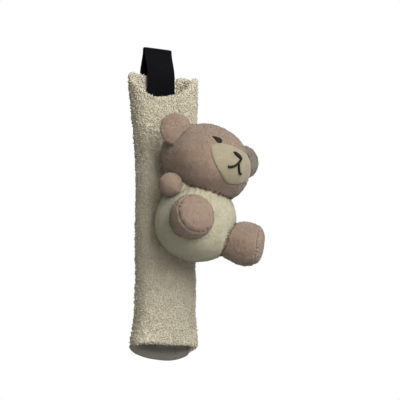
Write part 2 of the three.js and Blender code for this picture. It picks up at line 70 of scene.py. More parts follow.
def linear(code: str) -> tuple[float, ...]:
    """Turns an sRGB colour, six hex digits, into the linear one that a shader takes, with an alpha of 1."""
    parts = [int(code[i:i + 2], 16) / 255 for i in (0, 2, 4)]
    return (*(c / 12.92 if c <= 0.04045 else ((c + 0.055) / 1.055) ** 2.4 for c in parts), 1.0)


def fill_sockets(tree: NodeTree, node: Node, links: dict) -> None:
    """Gives a node's inputs what goes into them.

    Args:
        tree: the node's tree.
        node: the node.
        links: by an input's name or number, a node for its first output, a socket, or a plain value.
    """
    for place, source in links.items():
        if isinstance(source, Node):
            source = next(out for out in source.outputs if out.enabled)
        if isinstance(source, Socket):
            tree.links.new(source, node.inputs[place])
        else:
            node.inputs[place].default_value = source


def add_node(tree: NodeTree, kind: str, links: dict | None = None, **settings: object) -> Node:
    """Adds a node with its settings and what goes into it.

    Args:
        tree: the shader or geometry tree.
        kind: the node's type.
        links: what its inputs take, as fill_sockets has it.
        settings: the node's own properties.
    Returns:
        The node.
    """
    node = tree.nodes.new(kind)
    for key, value in settings.items():
        setattr(node, key, value)
    fill_sockets(tree, node, links or {})
    return node


def smooth_rise(t: np.ndarray) -> np.ndarray:
    """Goes from 0 to 1 with level ends as t does."""
    s = np.clip(t, 0, 1)
    return s * s * (3 - 2 * s)


def ripple(points: np.ndarray, size: float, seed: float = 0.0) -> np.ndarray:
    """Smooth noise at points, from about -1 to 1, in lumps of a size and moved by a seed."""
    return np.array([noise.noise(p) for p in (points / size + seed).tolist()])


def linked(name: str, data: bpy.types.ID) -> bpy.types.Object:
    """Makes an object of a mesh, lamp or camera and puts it in the scene."""
    made = bpy.data.objects.new(name, data)
    bpy.context.scene.collection.objects.link(made)
    return made


def mesh_piece(name: str, points: np.ndarray, faces: Sequence[Sequence[int]]) -> Piece:
    """Makes a smooth-shaded object whose place is in its mesh.

    Args:
        name: the object's name.
        points: rows of three, in millimetres.
        faces: corner numbers of each face.
    Returns:
        The object.
    """
    mesh = bpy.data.meshes.new(name)
    mesh.from_pydata((np.asarray(points) * MM).tolist(), [], [list(f) for f in faces])
    mesh.polygons.foreach_set("use_smooth", [True] * len(mesh.polygons))
    return linked(name, mesh)


def closed_piece(name: str, points: np.ndarray, faces: Sequence[Sequence[int]]) -> Piece:
    """Makes a closed piece with its faces outwards, and those of more than four sides in triangles.

    Args:
        name: the piece's name.
        points: rows of three, in millimetres.
        faces: corner numbers of each face.
    Returns:
        The piece.
    """
    made = mesh_piece(name, points, faces)
    base = bmesh.new()
    base.from_mesh(made.data)
    bmesh.ops.triangulate(base, faces=[f for f in base.faces if len(f.verts) > 4])
    bmesh.ops.recalc_face_normals(base, faces=base.faces)
    base.to_mesh(made.data)
    base.free()
    return made


def points_of(piece: Piece, kind: str = "co", unit: float = MM) -> np.ndarray:
    """Reads a piece's points in millimetres."""
    flat = np.empty(len(piece.data.vertices) * 3)
    piece.data.vertices.foreach_get(kind, flat)
    return flat.reshape(-1, 3) / unit


def set_points(piece: Piece, points: np.ndarray) -> None:
    """Writes a piece's points, given in millimetres."""
    piece.data.vertices.foreach_set("co", (points * MM).ravel())
    piece.data.update()


def push_out(piece: Piece, amount: np.ndarray) -> None:
    """Moves each of a piece's points outwards by its own amount."""
    set_points(piece, points_of(piece) + points_of(piece, "normal", 1) * amount[:, None])


def settle(piece: Piece) -> Piece:
    """Turns a piece's live modifiers into its plain mesh.

    Args:
        piece: the object with modifiers.
    Returns:
        The same object, without modifiers.
    """
    graph = bpy.context.evaluated_depsgraph_get()
    graph.update()
    made = bpy.data.meshes.new_from_object(piece.evaluated_get(graph), depsgraph=graph)
    piece.modifiers.clear()
    old, piece.data = piece.data, made
    made.name = piece.name
    if old.users == 0:
        bpy.data.meshes.remove(old)
    return piece


def wear(piece: Piece, finish: Material, slot: str, *nodes: str) -> None:
    """Gives a piece its finish, hangs it on the body and hides the frame's nodes that it replaces.

    Args:
        piece: the finished mesh.
        finish: its material.
        slot: the record's slot; not used.
        nodes: the frame's nodes that it replaces.
    """
    piece.data.materials.clear()
    piece.data.materials.append(finish)
    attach(piece, BODY)
    if nodes:
        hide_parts(*nodes)
    log.info("%s: %d faces", piece.name, len(piece.data.polygons))


def moved_by(matrix: Matrix, points: np.ndarray) -> np.ndarray:
    """Carries points from one frame to another."""
    m = np.array(matrix)
    return points @ m[:3, :3].T + m[:3, 3]


def lengths(rows: np.ndarray) -> np.ndarray:
    """The length of each row."""
    return np.linalg.norm(rows, axis=1)


def units(rows: np.ndarray) -> np.ndarray:
    """Each row's direction, with a length of 1."""
    return rows / lengths(rows)[:, None]


def hung(name: str, data: bpy.types.ID, place: Vector, way: Vector, axis: str) -> bpy.types.Object:
    """Hangs a lamp or camera.

    Args:
        name: its name.
        data: the lamp or camera.
        place: where it hangs, in millimetres.
        way: a direction.
        axis: its own axis that points along the way.
    Returns:
        The object.
    """
    made = linked(name, data)
    made.location = place * MM
    made.rotation_mode = "QUATERNION"
    made.rotation_quaternion = way.to_track_quat(axis, "Y")
    return made


# Finishes


@dataclass(frozen=True)
class Finish:
    """A cloth or thread with a lit colour and a deep one."""

    name: str
    lit: str
    deep: str

    def begin(self) -> tuple[Material, Callable[..., Node], Socket]:
        """Begins the material.

        Returns:
            The material, what adds its nodes, and the place on the piece.
        """
        made = bpy.data.materials.new(self.name)
        made.use_nodes = True
        node = partial(add_node, made.node_tree)
        return made, node, node("ShaderNodeTexCoord").outputs["Object"]

    def blend(self, node: Callable[..., Node], share: Node) -> Node:
        """Mixes the deep colour and the lit one by a share from 0 to 1."""
        return node("ShaderNodeMix", {"Factor": share, "A": linear(self.deep), "B": linear(self.lit)},
                    data_type="RGBA")

    @staticmethod
    def end(made: Material, colour: Node, height: Node, strength: float, rise: float,
            **plain: object) -> Material:
        """Joins colour and bump to the shader.

        Args:
            made: the material.
            colour: the surface's colour.
            height: the bump's height.
            strength: the bump's strength.
            rise: its height in millimetres.
            plain: the shader's own values, with spaces as underlines.
        Returns:
            The material.
        """
        tree = made.node_tree
        bump = add_node(tree, "ShaderNodeBump", {"Strength": strength, "Distance": rise * MM,
                                                 "Height": height})
        shader = tree.nodes["Principled BSDF"]
        fill_sockets(tree, shader, {"Base Color": colour, "Normal": bump})
        for label, value in plain.items():
            shader.inputs[label.replace("_", " ")].default_value = value
        return made


@dataclass(frozen=True)
class PileFinish(Finish):
    """Pile cloth: knitted polyester with raised fibres, matt with a pale bloom at grazing angles."""

    # The root colour is painted shade, mixed in where a fibre's root attribute is high
    root: str
    clump: float
    grain: float
    bump: float
    sheen: float = 0.25
    scatter: float = 0.0

    def make(self) -> Material:
        """Builds the material: patches a few clumps wide, a finer grain, and painted shade that darkens the
        fibres towards their roots.
        """
        made, node, where = self.begin()
        patches = node("ShaderNodeTexNoise", {"Vector": where, "Scale": 1 / (self.clump * 3 * MM),
                                              "Detail": 3.0, "Roughness": 0.6})
        grain = node("ShaderNodeTexNoise", {"Vector": where, "Scale": 1 / (self.grain * MM), "Detail": 2.0,
                                            "Roughness": 0.65})
        tufts = node("ShaderNodeTexVoronoi", {"Vector": where, "Scale": 1 / (self.clump * MM)},
                     feature="SMOOTH_F1")
        tint, root = (node("ShaderNodeAttribute", attribute_name=label,
                           attribute_type="GEOMETRY").outputs["Fac"] for label in ("tint", "root"))
        spread, speckle = (node("ShaderNodeMapRange", {"Value": source, "From Min": low, "From Max": high})
                           for source, low, high in ((patches, 0.36, 0.64), (grain, 0.3, 0.7)))
        share = node("ShaderNodeMath", {0: spread, 1: speckle}, operation="ADD")
        share = node("ShaderNodeMath", {0: share, 1: tint}, operation="ADD")
        level = node("ShaderNodeMath", {0: share, 1: 0.4}, operation="MULTIPLY", use_clamp=True)
        # Painted shade: the root colour darkens each fibre near its base
        shaded = node("ShaderNodeMix", {"Factor": root, "A": self.blend(node, level), "B": linear(self.root)},
                      data_type="RGBA")
        height = node("ShaderNodeMath", {0: grain, 1: tufts}, operation="SUBTRACT")
        return self.end(made, shaded, height, 0.8, self.bump, Roughness=0.95, Specular_IOR_Level=0.2,
                        Sheen_Weight=self.sheen, Sheen_Roughness=0.6, Subsurface_Weight=self.scatter,
                        Subsurface_Radius=(1.0, 0.85, 0.65), Subsurface_Scale=1.2 * MM)


class Weave(Enum):
    """How a flat cloth's two sets of threads show, as the sum that joins them."""

    PLAIN = "MULTIPLY"
    RIB = "MAXIMUM"


@dataclass(frozen=True)
class WovenFinish(Finish):
    """Woven cloth: threads of a pitch that show as fine crossing ribs."""

    pitch: float
    weave: Weave
    bump: float
    roughness: float
    sheen: float = 0.1
    specular: float = 0.35

    def make(self) -> Material:
        """Builds the material: two crossing sets of threads, darker in the hollows between them as painted
        shade, with soft stains over them.
        """
        made, node, where = self.begin()
        # A wave texture's bands repeat every 0.314 of its unit
        across, along = (node("ShaderNodeTexWave", {"Vector": where, "Scale": 0.314 / (self.pitch * MM),
                                                    "Distortion": 0.4, "Detail": 1.0}, bands_direction=way)
                         for way in "XZ")
        threads = node("ShaderNodeMath", {0: across.outputs["Fac"], 1: along.outputs["Fac"]},
                       operation=self.weave.value)
        stains = node("ShaderNodeTexNoise", {"Vector": where, "Scale": 1 / (14 * MM), "Detail": 3.0})
        # The colour follows the threads' height: the lit colour on their crowns, painted shade in the hollows
        share = node("ShaderNodeMath", {0: threads, 1: stains}, operation="MULTIPLY", use_clamp=True)
        return self.end(made, self.blend(node, share), threads, 0.7, self.bump, Roughness=self.roughness,
                        Specular_IOR_Level=self.specular, Sheen_Weight=self.sheen)


@dataclass(frozen=True)
class ThreadFinish(Finish):
    """Twisted polyester sewing or embroidery thread, with a soft satin gleam."""

    roughness: float = 0.6

    def make(self) -> Material:
        """Builds the material: strands of a slightly different depth, and a fine twist in the bump."""
        made, node, where = self.begin()
        strands = node("ShaderNodeTexNoise", {"Vector": where, "Scale": 1 / (0.5 * MM), "Detail": 2.0})
        return self.end(made, self.blend(node, strands), strands, 0.5, 0.12, Roughness=self.roughness,
                        Specular_IOR_Level=0.2)


class Finishes:
    """Every finish of the pad, made once."""

    def __init__(self) -> None:
        """Makes the materials."""
        # Sherpa fleece with a pile of about 4 mm: pale clumps 2 to 3 mm wide over roots darkened with painted
        # shade
        self.cover_pile = PileFinish("sherpa_fleece_cream", "cac2ae", "afa791", "979079", 2.6, 0.9, 0.6,
                                     0.2, 0.8).make()
        # Minky plush with a 1.5 mm nap: nearly smooth, brushed into soft lighter and darker patches. Its
        # grain, really 0.1 mm fibres, is drawn 0.8 mm wide so that it shows
        self.plush = PileFinish("minky_plush_taupe", "998574", "7f6b5a", "584739", 5.0, 0.8, 0.35).make()
        # A darker, greyer copy of the same plush: painted shade for the far ear
        self.plush_painted_shade = PileFinish("minky_plush_painted_shade", "857a6e", "6c6156", "4d443b", 5.0, 0.8, 0.35,
                                     0.15).make()
        # The same plush on the sole panels, a little paler
        self.sole_plush = PileFinish("minky_plush_sole", "978475", "7f6c5c", "5f4e40", 5.0, 0.8, 0.3).make()
        # Brushed fleece of the suit: a cream felt-like face with very short fibres, drawn coarser than real
        self.suit = PileFinish("brushed_fleece_suit", "bab49c", "a19b83", "7f7a61", 3.4, 0.7, 0.3, 0.2).make()
        # Short brushed fleece of the muzzle patch, a little darker and warmer than the suit
        self.muzzle = PileFinish("brushed_fleece_muzzle", "9f9580", "877d66", "645a45", 3.0, 0.6, 0.3,
                                 0.15).make()
        # Plain woven polyester lining, grey-brown and dull. Its threads, really 0.3 mm apart, are 0.8 mm here
        self.lining = WovenFinish("woven_polyester_lining", "9a948a", "7b766c", 0.8, Weave.PLAIN, 0.1,
                                  0.8).make()
        # White polyester wadding, bonded and slightly hairy
        self.wadding = PileFinish("bonded_polyester_wadding", "f0eee6", "dcd9cf", "c4c0b4", 4.0, 1.2,
                                  0.6).make()
        # Hook tape: woven nylon with a field of stiff hooks, and loop tape with a fuzzy face
        self.hook = WovenFinish("woven_nylon_hook_tape", "cdc6b1", "8f8873", 1.4, Weave.PLAIN, 0.5,
                                0.55).make()
        self.loop = PileFinish("brushed_nylon_loop_tape", "cfc8b4", "a9a28c", "8d866f", 1.6, 0.6, 0.4).make()
        # Black polyester webbing in a ribbed weave of 1.3 mm, with a dull face
        self.webbing = WovenFinish("woven_polyester_webbing", "0c0c0e", "050507", 1.3, Weave.RIB, 0.2, 0.75,
                                   0.0, 0.04).make()
        # Dark brown embroidery thread of the face, and the threads of the joins, the strap and the closure.
        # Their strands, really 0.1 mm wide, are drawn 0.5 mm wide
        self.embroidery = ThreadFinish("rayon_embroidery_brown", "1e110b", "0d0704").make()
        self.join_thread = ThreadFinish("sewing_thread_brown", "5a4537", "3a2a20").make()
        self.strap_thread = ThreadFinish("sewing_thread_black", "1c1c1f", "0a0a0c", 0.5).make()
        self.cream_thread = ThreadFinish("sewing_thread_cream", "c5bca2", "a09880").make()


# Geometry node trees


class GeometryTree:
    """A geometry tree with named inputs, which ends in realized, smooth and dressed geometry."""

    def __init__(self, name: str, sockets: dict[str, str]) -> None:
        """Starts the tree.

        Args:
            name: the tree's name.
            sockets: the kind of each input that isn't a plain number, by its name.
        """
        self.tree = bpy.data.node_groups.new(name, "GeometryNodeTree")
        self.node = partial(add_node, self.tree)
        for label, kind in {"Geometry": "Geometry", **sockets, "Finish": "Material"}.items():
            self.tree.interface.new_socket(label, in_out="INPUT", socket_type=f"NodeSocket{kind}")
        self.tree.interface.new_socket("Geometry", in_out="OUTPUT", socket_type="NodeSocketGeometry")
        self.known = {out.name: out for out in self.node("NodeGroupInput").outputs if out.name}
        self.known["along"] = self.node("GeometryNodeSplineParameter").outputs["Factor"]

    def end(self, geometry: Node) -> None:
        """Realizes, smooths and dresses what the tree made.

        Args:
            geometry: the node that made it.
        """
        real = self.node("GeometryNodeRealizeInstances", {0: geometry})
        smooth = self.node("GeometryNodeSetShadeSmooth", {0: real})
        dressed = self.node("GeometryNodeSetMaterial", {"Geometry": smooth, "Material": self.known["Finish"]})
        self.node("NodeGroupOutput", {0: dressed})

    def run(self, name: str, mesh: bpy.types.Mesh, values: dict[str, object]) -> Piece:
        """Runs the tree on a mesh and keeps the result.

        Args:
            name: the new piece's name.
            mesh: what goes in.
            values: the tree's inputs by name, lengths in metres.
        Returns:
            The piece, a plain mesh.
        """
        made = linked(name, mesh)
        step = made.modifiers.new("tree", "NODES")
        step.node_group = self.tree
        for item in self.tree.interface.items_tree:
            if item.in_out == "INPUT" and item.name in values:
                step[item.identifier] = values[item.name]
        return settle(made)


class GrowthTree(GeometryTree):
    """Fibres or tufts that grow from a surface, leaning and curling at random."""

    LENGTHS = ("Spacing", "Length", "Radius", "Root Depth")
    NUMBERS = (*LENGTHS, "Lean", "Curl", "Tip", "Flow", "Root Shade", "Tint")

    def __init__(self, name: str, sides: int, joints: int) -> None:
        """Builds the tree.

        Args:
            name: the tree's name.
            sides: the sides of one fibre.
            joints: its steps from root to tip.
        """
        super().__init__(name, {**dict.fromkeys(self.NUMBERS, "Float"), "Seed": "Int"})
        node, known = self.node, self.known
        for label, operation, first, second in (
                ("bend", "MULTIPLY", "Length", "Curl"), ("middle x", "MULTIPLY", "bend", -0.35),
                ("middle z", "MULTIPLY", "Length", 0.6), ("base z", "MULTIPLY", "Root Depth", -1.0),
                ("scaled", "MULTIPLY", "along", 1.6), ("capped", "MINIMUM", "scaled", 1.0),
                ("near root", "SUBTRACT", 1.0, "capped"), ("root", "MULTIPLY", "Root Shade", "near root"),
                ("squared", "POWER", "along", 2.0), ("loss", "SUBTRACT", 1.0, "Tip"),
                ("lost", "MULTIPLY", "squared", "loss"), ("thinning", "SUBTRACT", 1.0, "lost"),
                ("area", "MULTIPLY", "Spacing", "Spacing"), ("density", "DIVIDE", 2.2, "area"),
                ("low x", "SUBTRACT", "Flow", "Lean"), ("low y", "MULTIPLY", "Lean", -1.0),
                ("high x", "ADD", "Flow", "Lean")):
            known[label] = node("ShaderNodeMath", {0: known.get(first, first), 1: known.get(second, second)},
                                operation=operation)
        middle = node("ShaderNodeCombineXYZ", {"X": known["middle x"], "Z": known["middle z"]})
        tip = node("ShaderNodeCombineXYZ", {"X": known["bend"], "Z": known["Length"]})
        base = node("ShaderNodeCombineXYZ", {"Z": known["base z"]})
        line = node("GeometryNodeCurveQuadraticBezier", {"Resolution": joints, "Start": base,
                                                         "Middle": middle, "End": tip})
        # The root value carries painted shade for the colour, strongest at a fibre's base
        rooted = node("GeometryNodeStoreNamedAttribute", {"Geometry": line, "Name": "root",
                                                          "Value": known["root"]},
                      data_type="FLOAT", domain="POINT")
        ring = node("GeometryNodeCurvePrimitiveCircle", {"Resolution": sides, "Radius": known["Radius"]})
        fibre = node("GeometryNodeCurveToMesh", {"Curve": rooted, "Profile Curve": ring,
                                                 "Scale": known["thinning"], "Fill Caps": True})
        pile = node("GeometryNodeInputNamedAttribute", {"Name": "pile"}, data_type="FLOAT")
        spots = node("GeometryNodeDistributePointsOnFaces", {
            "Mesh": known["Geometry"], "Distance Min": known["Spacing"], "Density Max": known["density"],
            "Density Factor": pile, "Seed": known["Seed"]}, distribute_method="POISSON")
        low = node("ShaderNodeCombineXYZ", {"X": known["low x"], "Y": known["low y"]})
        high = node("ShaderNodeCombineXYZ", {"X": known["high x"], "Y": known["Lean"]})
        turned = spots.outputs["Rotation"]
        # First each fibre's lean, then its turn about itself
        for least, most, seed in ((low, high, 3), ((0, 0, 0), (0, 0, 2 * math.pi), 7)):
            drawn = node("FunctionNodeRandomValue", {0: least, 1: most, "Seed": seed},
                         data_type="FLOAT_VECTOR")
            turned = node("FunctionNodeRotateRotation", {
                "Rotation": turned, "Rotate By": node("FunctionNodeEulerToRotation", {0: drawn})},
                rotation_space="LOCAL")
        size = node("FunctionNodeRandomValue", {2: 0.65, 3: 1.2, "Seed": 11}, data_type="FLOAT")
        placed = node("GeometryNodeInstanceOnPoints", {"Points": spots, "Instance": fibre, "Rotation": turned,
                                                       "Scale": size})
        shade = node("FunctionNodeRandomValue", {2: -1.0, 3: 1.0, "Seed": 17}, data_type="FLOAT")
        tint = node("ShaderNodeMath", {0: shade, 1: known["Tint"]}, operation="MULTIPLY")
        self.end(node("GeometryNodeStoreNamedAttribute", {"Geometry": placed, "Name": "tint", "Value": tint},
                      data_type="FLOAT", domain="INSTANCE"))

    def grow(self, name: str, ground: Piece, finish: Material, **sizes: float) -> Piece:
        """Grows fibres from a surface and keeps them as a plain mesh.

        Args:
            name: the new piece's name.
            ground: the surface, with a "pile" attribute from 0 to 1.
            finish: the fibres' material.
            sizes: the tree's inputs, lengths in millimetres, with spaces as underlines.
        Returns:
            The fibres.
        """
        values = {label.replace("_", " ").title(): size for label, size in sizes.items()}
        values.update({label: values[label] * MM for label in self.LENGTHS}, Finish=finish)
        return self.run(name, ground.data.copy(), values)


class ThreadTree(GeometryTree):
    """Threads along drawn lines: round, and thinner where they go into the cloth."""

    def __init__(self) -> None:
        """Builds the tree."""
        super().__init__("threads_along_lines", {"Radius": "Float", "End Radius": "Float"})
        node, known = self.node, self.known
        for label, operation, first, second in (
                ("rest", "SUBTRACT", 1.0, "along"), ("bow", "MULTIPLY", "along", "rest"),
                ("arch", "MULTIPLY", "bow", 4.0), ("positive", "MAXIMUM", "arch", 0.0),
                ("fullness", "POWER", "positive", 0.3), ("spare", "SUBTRACT", "Radius", "End Radius"),
                ("more", "MULTIPLY", "fullness", "spare"), ("thickness", "ADD", "End Radius", "more")):
            known[label] = node("ShaderNodeMath", {0: known.get(first, first), 1: known.get(second, second)},
                                operation=operation)
        line = node("GeometryNodeMeshToCurve", {0: known["Geometry"]})
        ring = node("GeometryNodeCurvePrimitiveCircle", {"Resolution": 6, "Radius": 1.0})
        self.end(node("GeometryNodeCurveToMesh", {"Curve": line, "Profile Curve": ring,
                                                  "Scale": known["thickness"], "Fill Caps": True}))

    def sew(self, name: str, lines: Sequence[np.ndarray], radius: float, finish: Material, slot: str,
            *nodes: str, end: float = 0.4) -> Piece:
        """Lays one thread along each line, and dresses them.

        Args:
            name: the new piece's name.
            lines: the threads' middle lines, rows of three in millimetres.
            radius: a thread's radius.
            finish: the thread's material.
            slot: the record's slot.
            nodes: the frame's nodes that they replace.
            end: the share of the radius that is left at a thread's ends.
        Returns:
            The threads.
        """
        edges, start = [], 0
        for line in lines:
            edges += [(start + i, start + i + 1) for i in range(len(line) - 1)]
            start += len(line)
        mesh = bpy.data.meshes.new(name)
        mesh.from_pydata((np.concatenate(lines) * MM).tolist(), edges, [])
        made = self.run(name, mesh, {"Radius": radius * MM, "End Radius": radius * end * MM,
                                     "Finish": finish})
        wear(made, finish, slot, *nodes)
        return made


# Stuffed skins


def keep_pile(piece: Piece, amount: np.ndarray) -> None:
    """Stores how thickly fibres grow at each point, from 0 to 1."""
    held = piece.data.attributes.get("pile") or piece.data.attributes.new("pile", "FLOAT", "POINT")
    held.data.foreach_set("value", np.clip(amount, 0, 1).astype(np.float32))


def skin_of(name: str, node: str, voxel: float, passes: int) -> Piece:
    """Copies a frame node as a closed skin of even faces.

    Args:
        name: the skin's name.
        node: the node copied.
        voxel: the size of a face, in millimetres.
        passes: how often the skin is smoothed.
    Returns:
        The skin.
    """
    base = bmesh.new()
    base.from_mesh(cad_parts[node].data)
    bmesh.ops.remove_doubles(base, verts=base.verts, dist=1e-6)
    mesh = bpy.data.meshes.new(name)
    base.to_mesh(mesh)
    base.free()
    made = linked(name, mesh)
    remesh = made.modifiers.new("even_faces", "REMESH")
    remesh.mode, remesh.voxel_size = "VOXEL", voxel * MM
    soften = made.modifiers.new("soften", "SMOOTH")
    soften.factor, soften.iterations = 0.5, passes
    settle(made)
    made.data.polygons.foreach_set("use_smooth", [True] * len(made.data.polygons))
    return made


@dataclass(frozen=True)
class Stuffing:
    """How far a filling may push a skin, how hard it does, and for how many frames."""

    cap: float
    pressure: float = 4.0
    frames: int = 20

    def fill(self, piece: Piece, held: np.ndarray) -> None:
        """Blows the skin up as a cloth, and keeps each point within the cap of where it was.

        Args:
            piece: the skin.
            held: how firmly each point is sewn down, from 0 to 1.
        """
        start = points_of(piece)
        group = piece.vertex_groups.new(name="sewn")
        for i, weight in enumerate(held.tolist()):
            group.add([i], weight, "REPLACE")
        scene = bpy.context.scene
        cloth = piece.modifiers.new("stuffing", "CLOTH")
        cloth.settings.vertex_group_mass = group.name
        cloth.settings.use_pressure = True
        cloth.settings.uniform_pressure_force = self.pressure
        cloth.settings.effector_weights.gravity = 0
        cloth.settings.mass = 0.3
        cloth.point_cache.frame_start, cloth.point_cache.frame_end = 1, self.frames
        for frame_number in range(1, self.frames + 1):
            scene.frame_set(frame_number)
        settle(piece)
        piece.vertex_groups.clear()
        scene.frame_set(1)
        moved = points_of(piece) - start
        set_points(piece, start + moved * np.minimum(1, self.cap / np.maximum(lengths(moved), 1e-9))[:, None])


def arc_lengths(line: np.ndarray) -> np.ndarray:
    """How far along a line each of its points is."""
    return np.concatenate([[0], np.cumsum(lengths(np.diff(line, axis=0)))])


def nearest(line: np.ndarray, points: np.ndarray) -> tuple[np.ndarray, np.ndarray]:
    """Finds how far points are from a finely drawn line.

    Args:
        line: the line's points, close together.
        points: the points asked about.
    Returns:
        Each point's distance, and its place along the line in millimetres.
    """
    tree = KDTree(len(line))
    for i, point in enumerate(line.tolist()):
        tree.insert(point, i)
    tree.balance()
    found = [tree.find(point) for point in points.tolist()]
    return np.array([f[2] for f in found]), arc_lengths(line)[[f[1] for f in found]]


def fine_line(points: Points, step: float = 0.5, closed: bool = True) -> np.ndarray:
    """Draws a line again with points an even step apart.

    Args:
        points: the line's points.
        step: the distance between the new points.
        closed: whether the line comes back to its start.
    Returns:
        The new points.
    """
    line = np.asarray(points, float)
    if closed:
        line = np.concatenate([line, line[:1]])
    steps = arc_lengths(line)
    places = np.linspace(0, steps[-1], max(2, int(steps[-1] / step)))
    return np.stack([np.interp(places, steps, line[:, k]) for k in range(3)], axis=1)


@dataclass(frozen=True)
class Seam:
    """A sewn join that pulls the cloth in, with puckers across it. A depth below 0 swells it."""

    depth: float
    width: float
    pucker: float
    pitch: float

    def press(self, piece: Piece, line: np.ndarray) -> None:
        """Pulls a piece's skin in along a line.

        Args:
            piece: the piece.
            line: the seam's points, close together.
        """
        far, along = nearest(line, points_of(piece))
        groove = self.depth * np.exp(-((far / self.width) ** 2))
        folds = self.pucker * np.sin(2 * np.pi * along / self.pitch + 1.7 * np.sin(along / 7.3))
        folds *= np.exp(-((far / (3.2 * self.width)) ** 2))
        push_out(piece, -(groove + folds))


# The frame's own rules, repeated for finer meshes


@dataclass(frozen=True)
class SleeveForm:
    """The sleeve's shape: a flat-backed tube, wider at both mouths."""

    length: float = 286
    half_thickness: float = 17
    waist_half_width: float = 37
    top_flare: float = 8
    top_flare_length: float = 92
    bottom_flare: float = 7
    bottom_flare_length: float = 56
    drift: float = -3
    power: float = 2.4
    crown: float = 2.2
    top_dip: float = 25
    top_dip_angle: float = -115
    top_sharpness: float = 1.9
    bottom_lip: float = 12.5
    bottom_rise: float = 13
    bottom_lip_angle: float = 70
    bottom_sharpness: float = 1.5
    mouth_spread: float = 0.9
    corner_slump: float = 3.0
    slit_angle: float = 50

    def flares(self, z: np.ndarray) -> tuple[np.ndarray, np.ndarray]:
        """How much of the top and of the bottom flare is reached at a height."""
        top = smooth_rise((z - (self.length - self.top_flare_length)) / self.top_flare_length)
        return top, smooth_rise((self.bottom_flare_length - z) / self.bottom_flare_length)

    def point(self, angle: np.ndarray, z: np.ndarray, inset: np.ndarray) -> np.ndarray:
        """A point of the wall.

        Args:
            angle: round the sleeve, in radians.
            z: the height.
            inset: the depth below the outer surface.
        Returns:
            Rows of three.
        """
        top, bottom = self.flares(z)
        half = self.waist_half_width + self.top_flare * top + self.bottom_flare * bottom
        c, s, power = np.cos(angle), np.sin(angle), 2 / self.power
        depth = self.half_thickness + np.where(s > 0, self.crown, 0) - inset
        x = (half - inset) * np.sign(c) * np.abs(c) ** power + self.drift * (top + bottom)
        y = np.minimum(depth * np.sign(s) * np.abs(s) ** power, self.half_thickness - inset)
        return np.stack([x, y, z + 0 * x], axis=-1)

    def share(self, angle: np.ndarray, centre: float, sharpness: float) -> np.ndarray:
        """How much of a mouth's dip or lip is reached at an angle."""
        turn = np.mod(angle - math.radians(centre) + np.pi, 2 * np.pi) - np.pi
        reach = self.mouth_spread * turn
        return np.where(np.abs(reach) < np.pi / 2, np.maximum(np.cos(reach), 0) ** sharpness, 0)

    def edges(self, angle: np.ndarray) -> tuple[np.ndarray, np.ndarray]:
        """The heights of the lower and the upper mouth's edge at an angle."""
        lip = self.bottom_lip * self.share(angle, self.bottom_lip_angle, self.bottom_sharpness)
        high = self.length - self.top_dip * self.share(angle, self.top_dip_angle, self.top_sharpness)
        return self.bottom_rise - lip, high - self.corner_slump * np.abs(np.cos(angle)) ** 24


@dataclass(frozen=True)
class HeadForm:
    """The head's shape in its own frame: a ball with a snout, two cheeks and a boxy back."""

    centre: tuple[float, float, float] = (4, -54, 195.4)
    half: tuple[float, float, float] = (42, 40, 39)
    crown: float = 35
    back_power: float = 3.2
    roll: float = 18
    yaw: float = 3
    snout: tuple[float, float, float, float] = (0.08, 0, -11, 36)
    jowl: tuple[float, float, float, float] = (0.13, 56, -28, 30)

    def matrix(self) -> Matrix:
        """From the head's frame to the row's."""
        roll, yaw = math.radians(self.roll), math.radians(self.yaw)
        turn = Matrix.Rotation(roll, 4, "Y") @ Matrix.Rotation(yaw, 4, "Z")
        return Matrix.Translation(self.centre) @ turn

    def radius(self, way: np.ndarray) -> np.ndarray:
        """The head's size along unit directions."""
        tall = np.where(way[..., 2] > 0, self.crown, self.half[2])
        power = np.where(way[..., 1] > 0, self.back_power, 2.0)
        plan = np.abs(way[..., 0] / self.half[0]) ** power + np.abs(way[..., 1] / self.half[1]) ** power
        plain = 1 / np.sqrt(plan ** (2 / power) + (way[..., 2] / tall) ** 2)
        swell = np.zeros(way.shape[:-1])
        other = (self.jowl[0], -self.jowl[1], *self.jowl[2:])
        for height, turn, pitch, spread in (self.snout, self.jowl, other):
            t, p = math.radians(turn), math.radians(pitch)
            towards = np.array([math.sin(t) * math.cos(p), -math.cos(t) * math.cos(p), math.sin(p)])
            angle = np.arccos(np.clip(way @ towards, -1, 1))
            swell += height * np.exp(-((angle / math.radians(spread)) ** 2))
        return plain * (1 + swell)


@dataclass(frozen=True)
class BodyForm:
    """The body's shape in its own frame: a soft box-like ball."""

    centre: tuple[float, float, float] = (-4, -46, 134)
    half: tuple[float, float, float] = (40.5, 34, 37.2)
    roll: float = 14
    plan_power: float = 2.6
    side_power: float = 2.4

    def matrix(self) -> Matrix:
        """From the body's frame to the row's."""
        return Matrix.Translation(self.centre) @ Matrix.Rotation(math.radians(self.roll), 4, "Y")

    def holds(self, points: np.ndarray) -> np.ndarray:
        """Says which points, given in the row's frame, are inside the body."""
        own = moved_by(self.matrix().inverted(), points)
        size = np.abs(own / np.array(self.half))
        plan = size[..., 0] ** self.plan_power + size[..., 1] ** self.plan_power
        return plan ** (self.side_power / self.plan_power) + size[..., 2] ** self.side_power < 1

# Stage


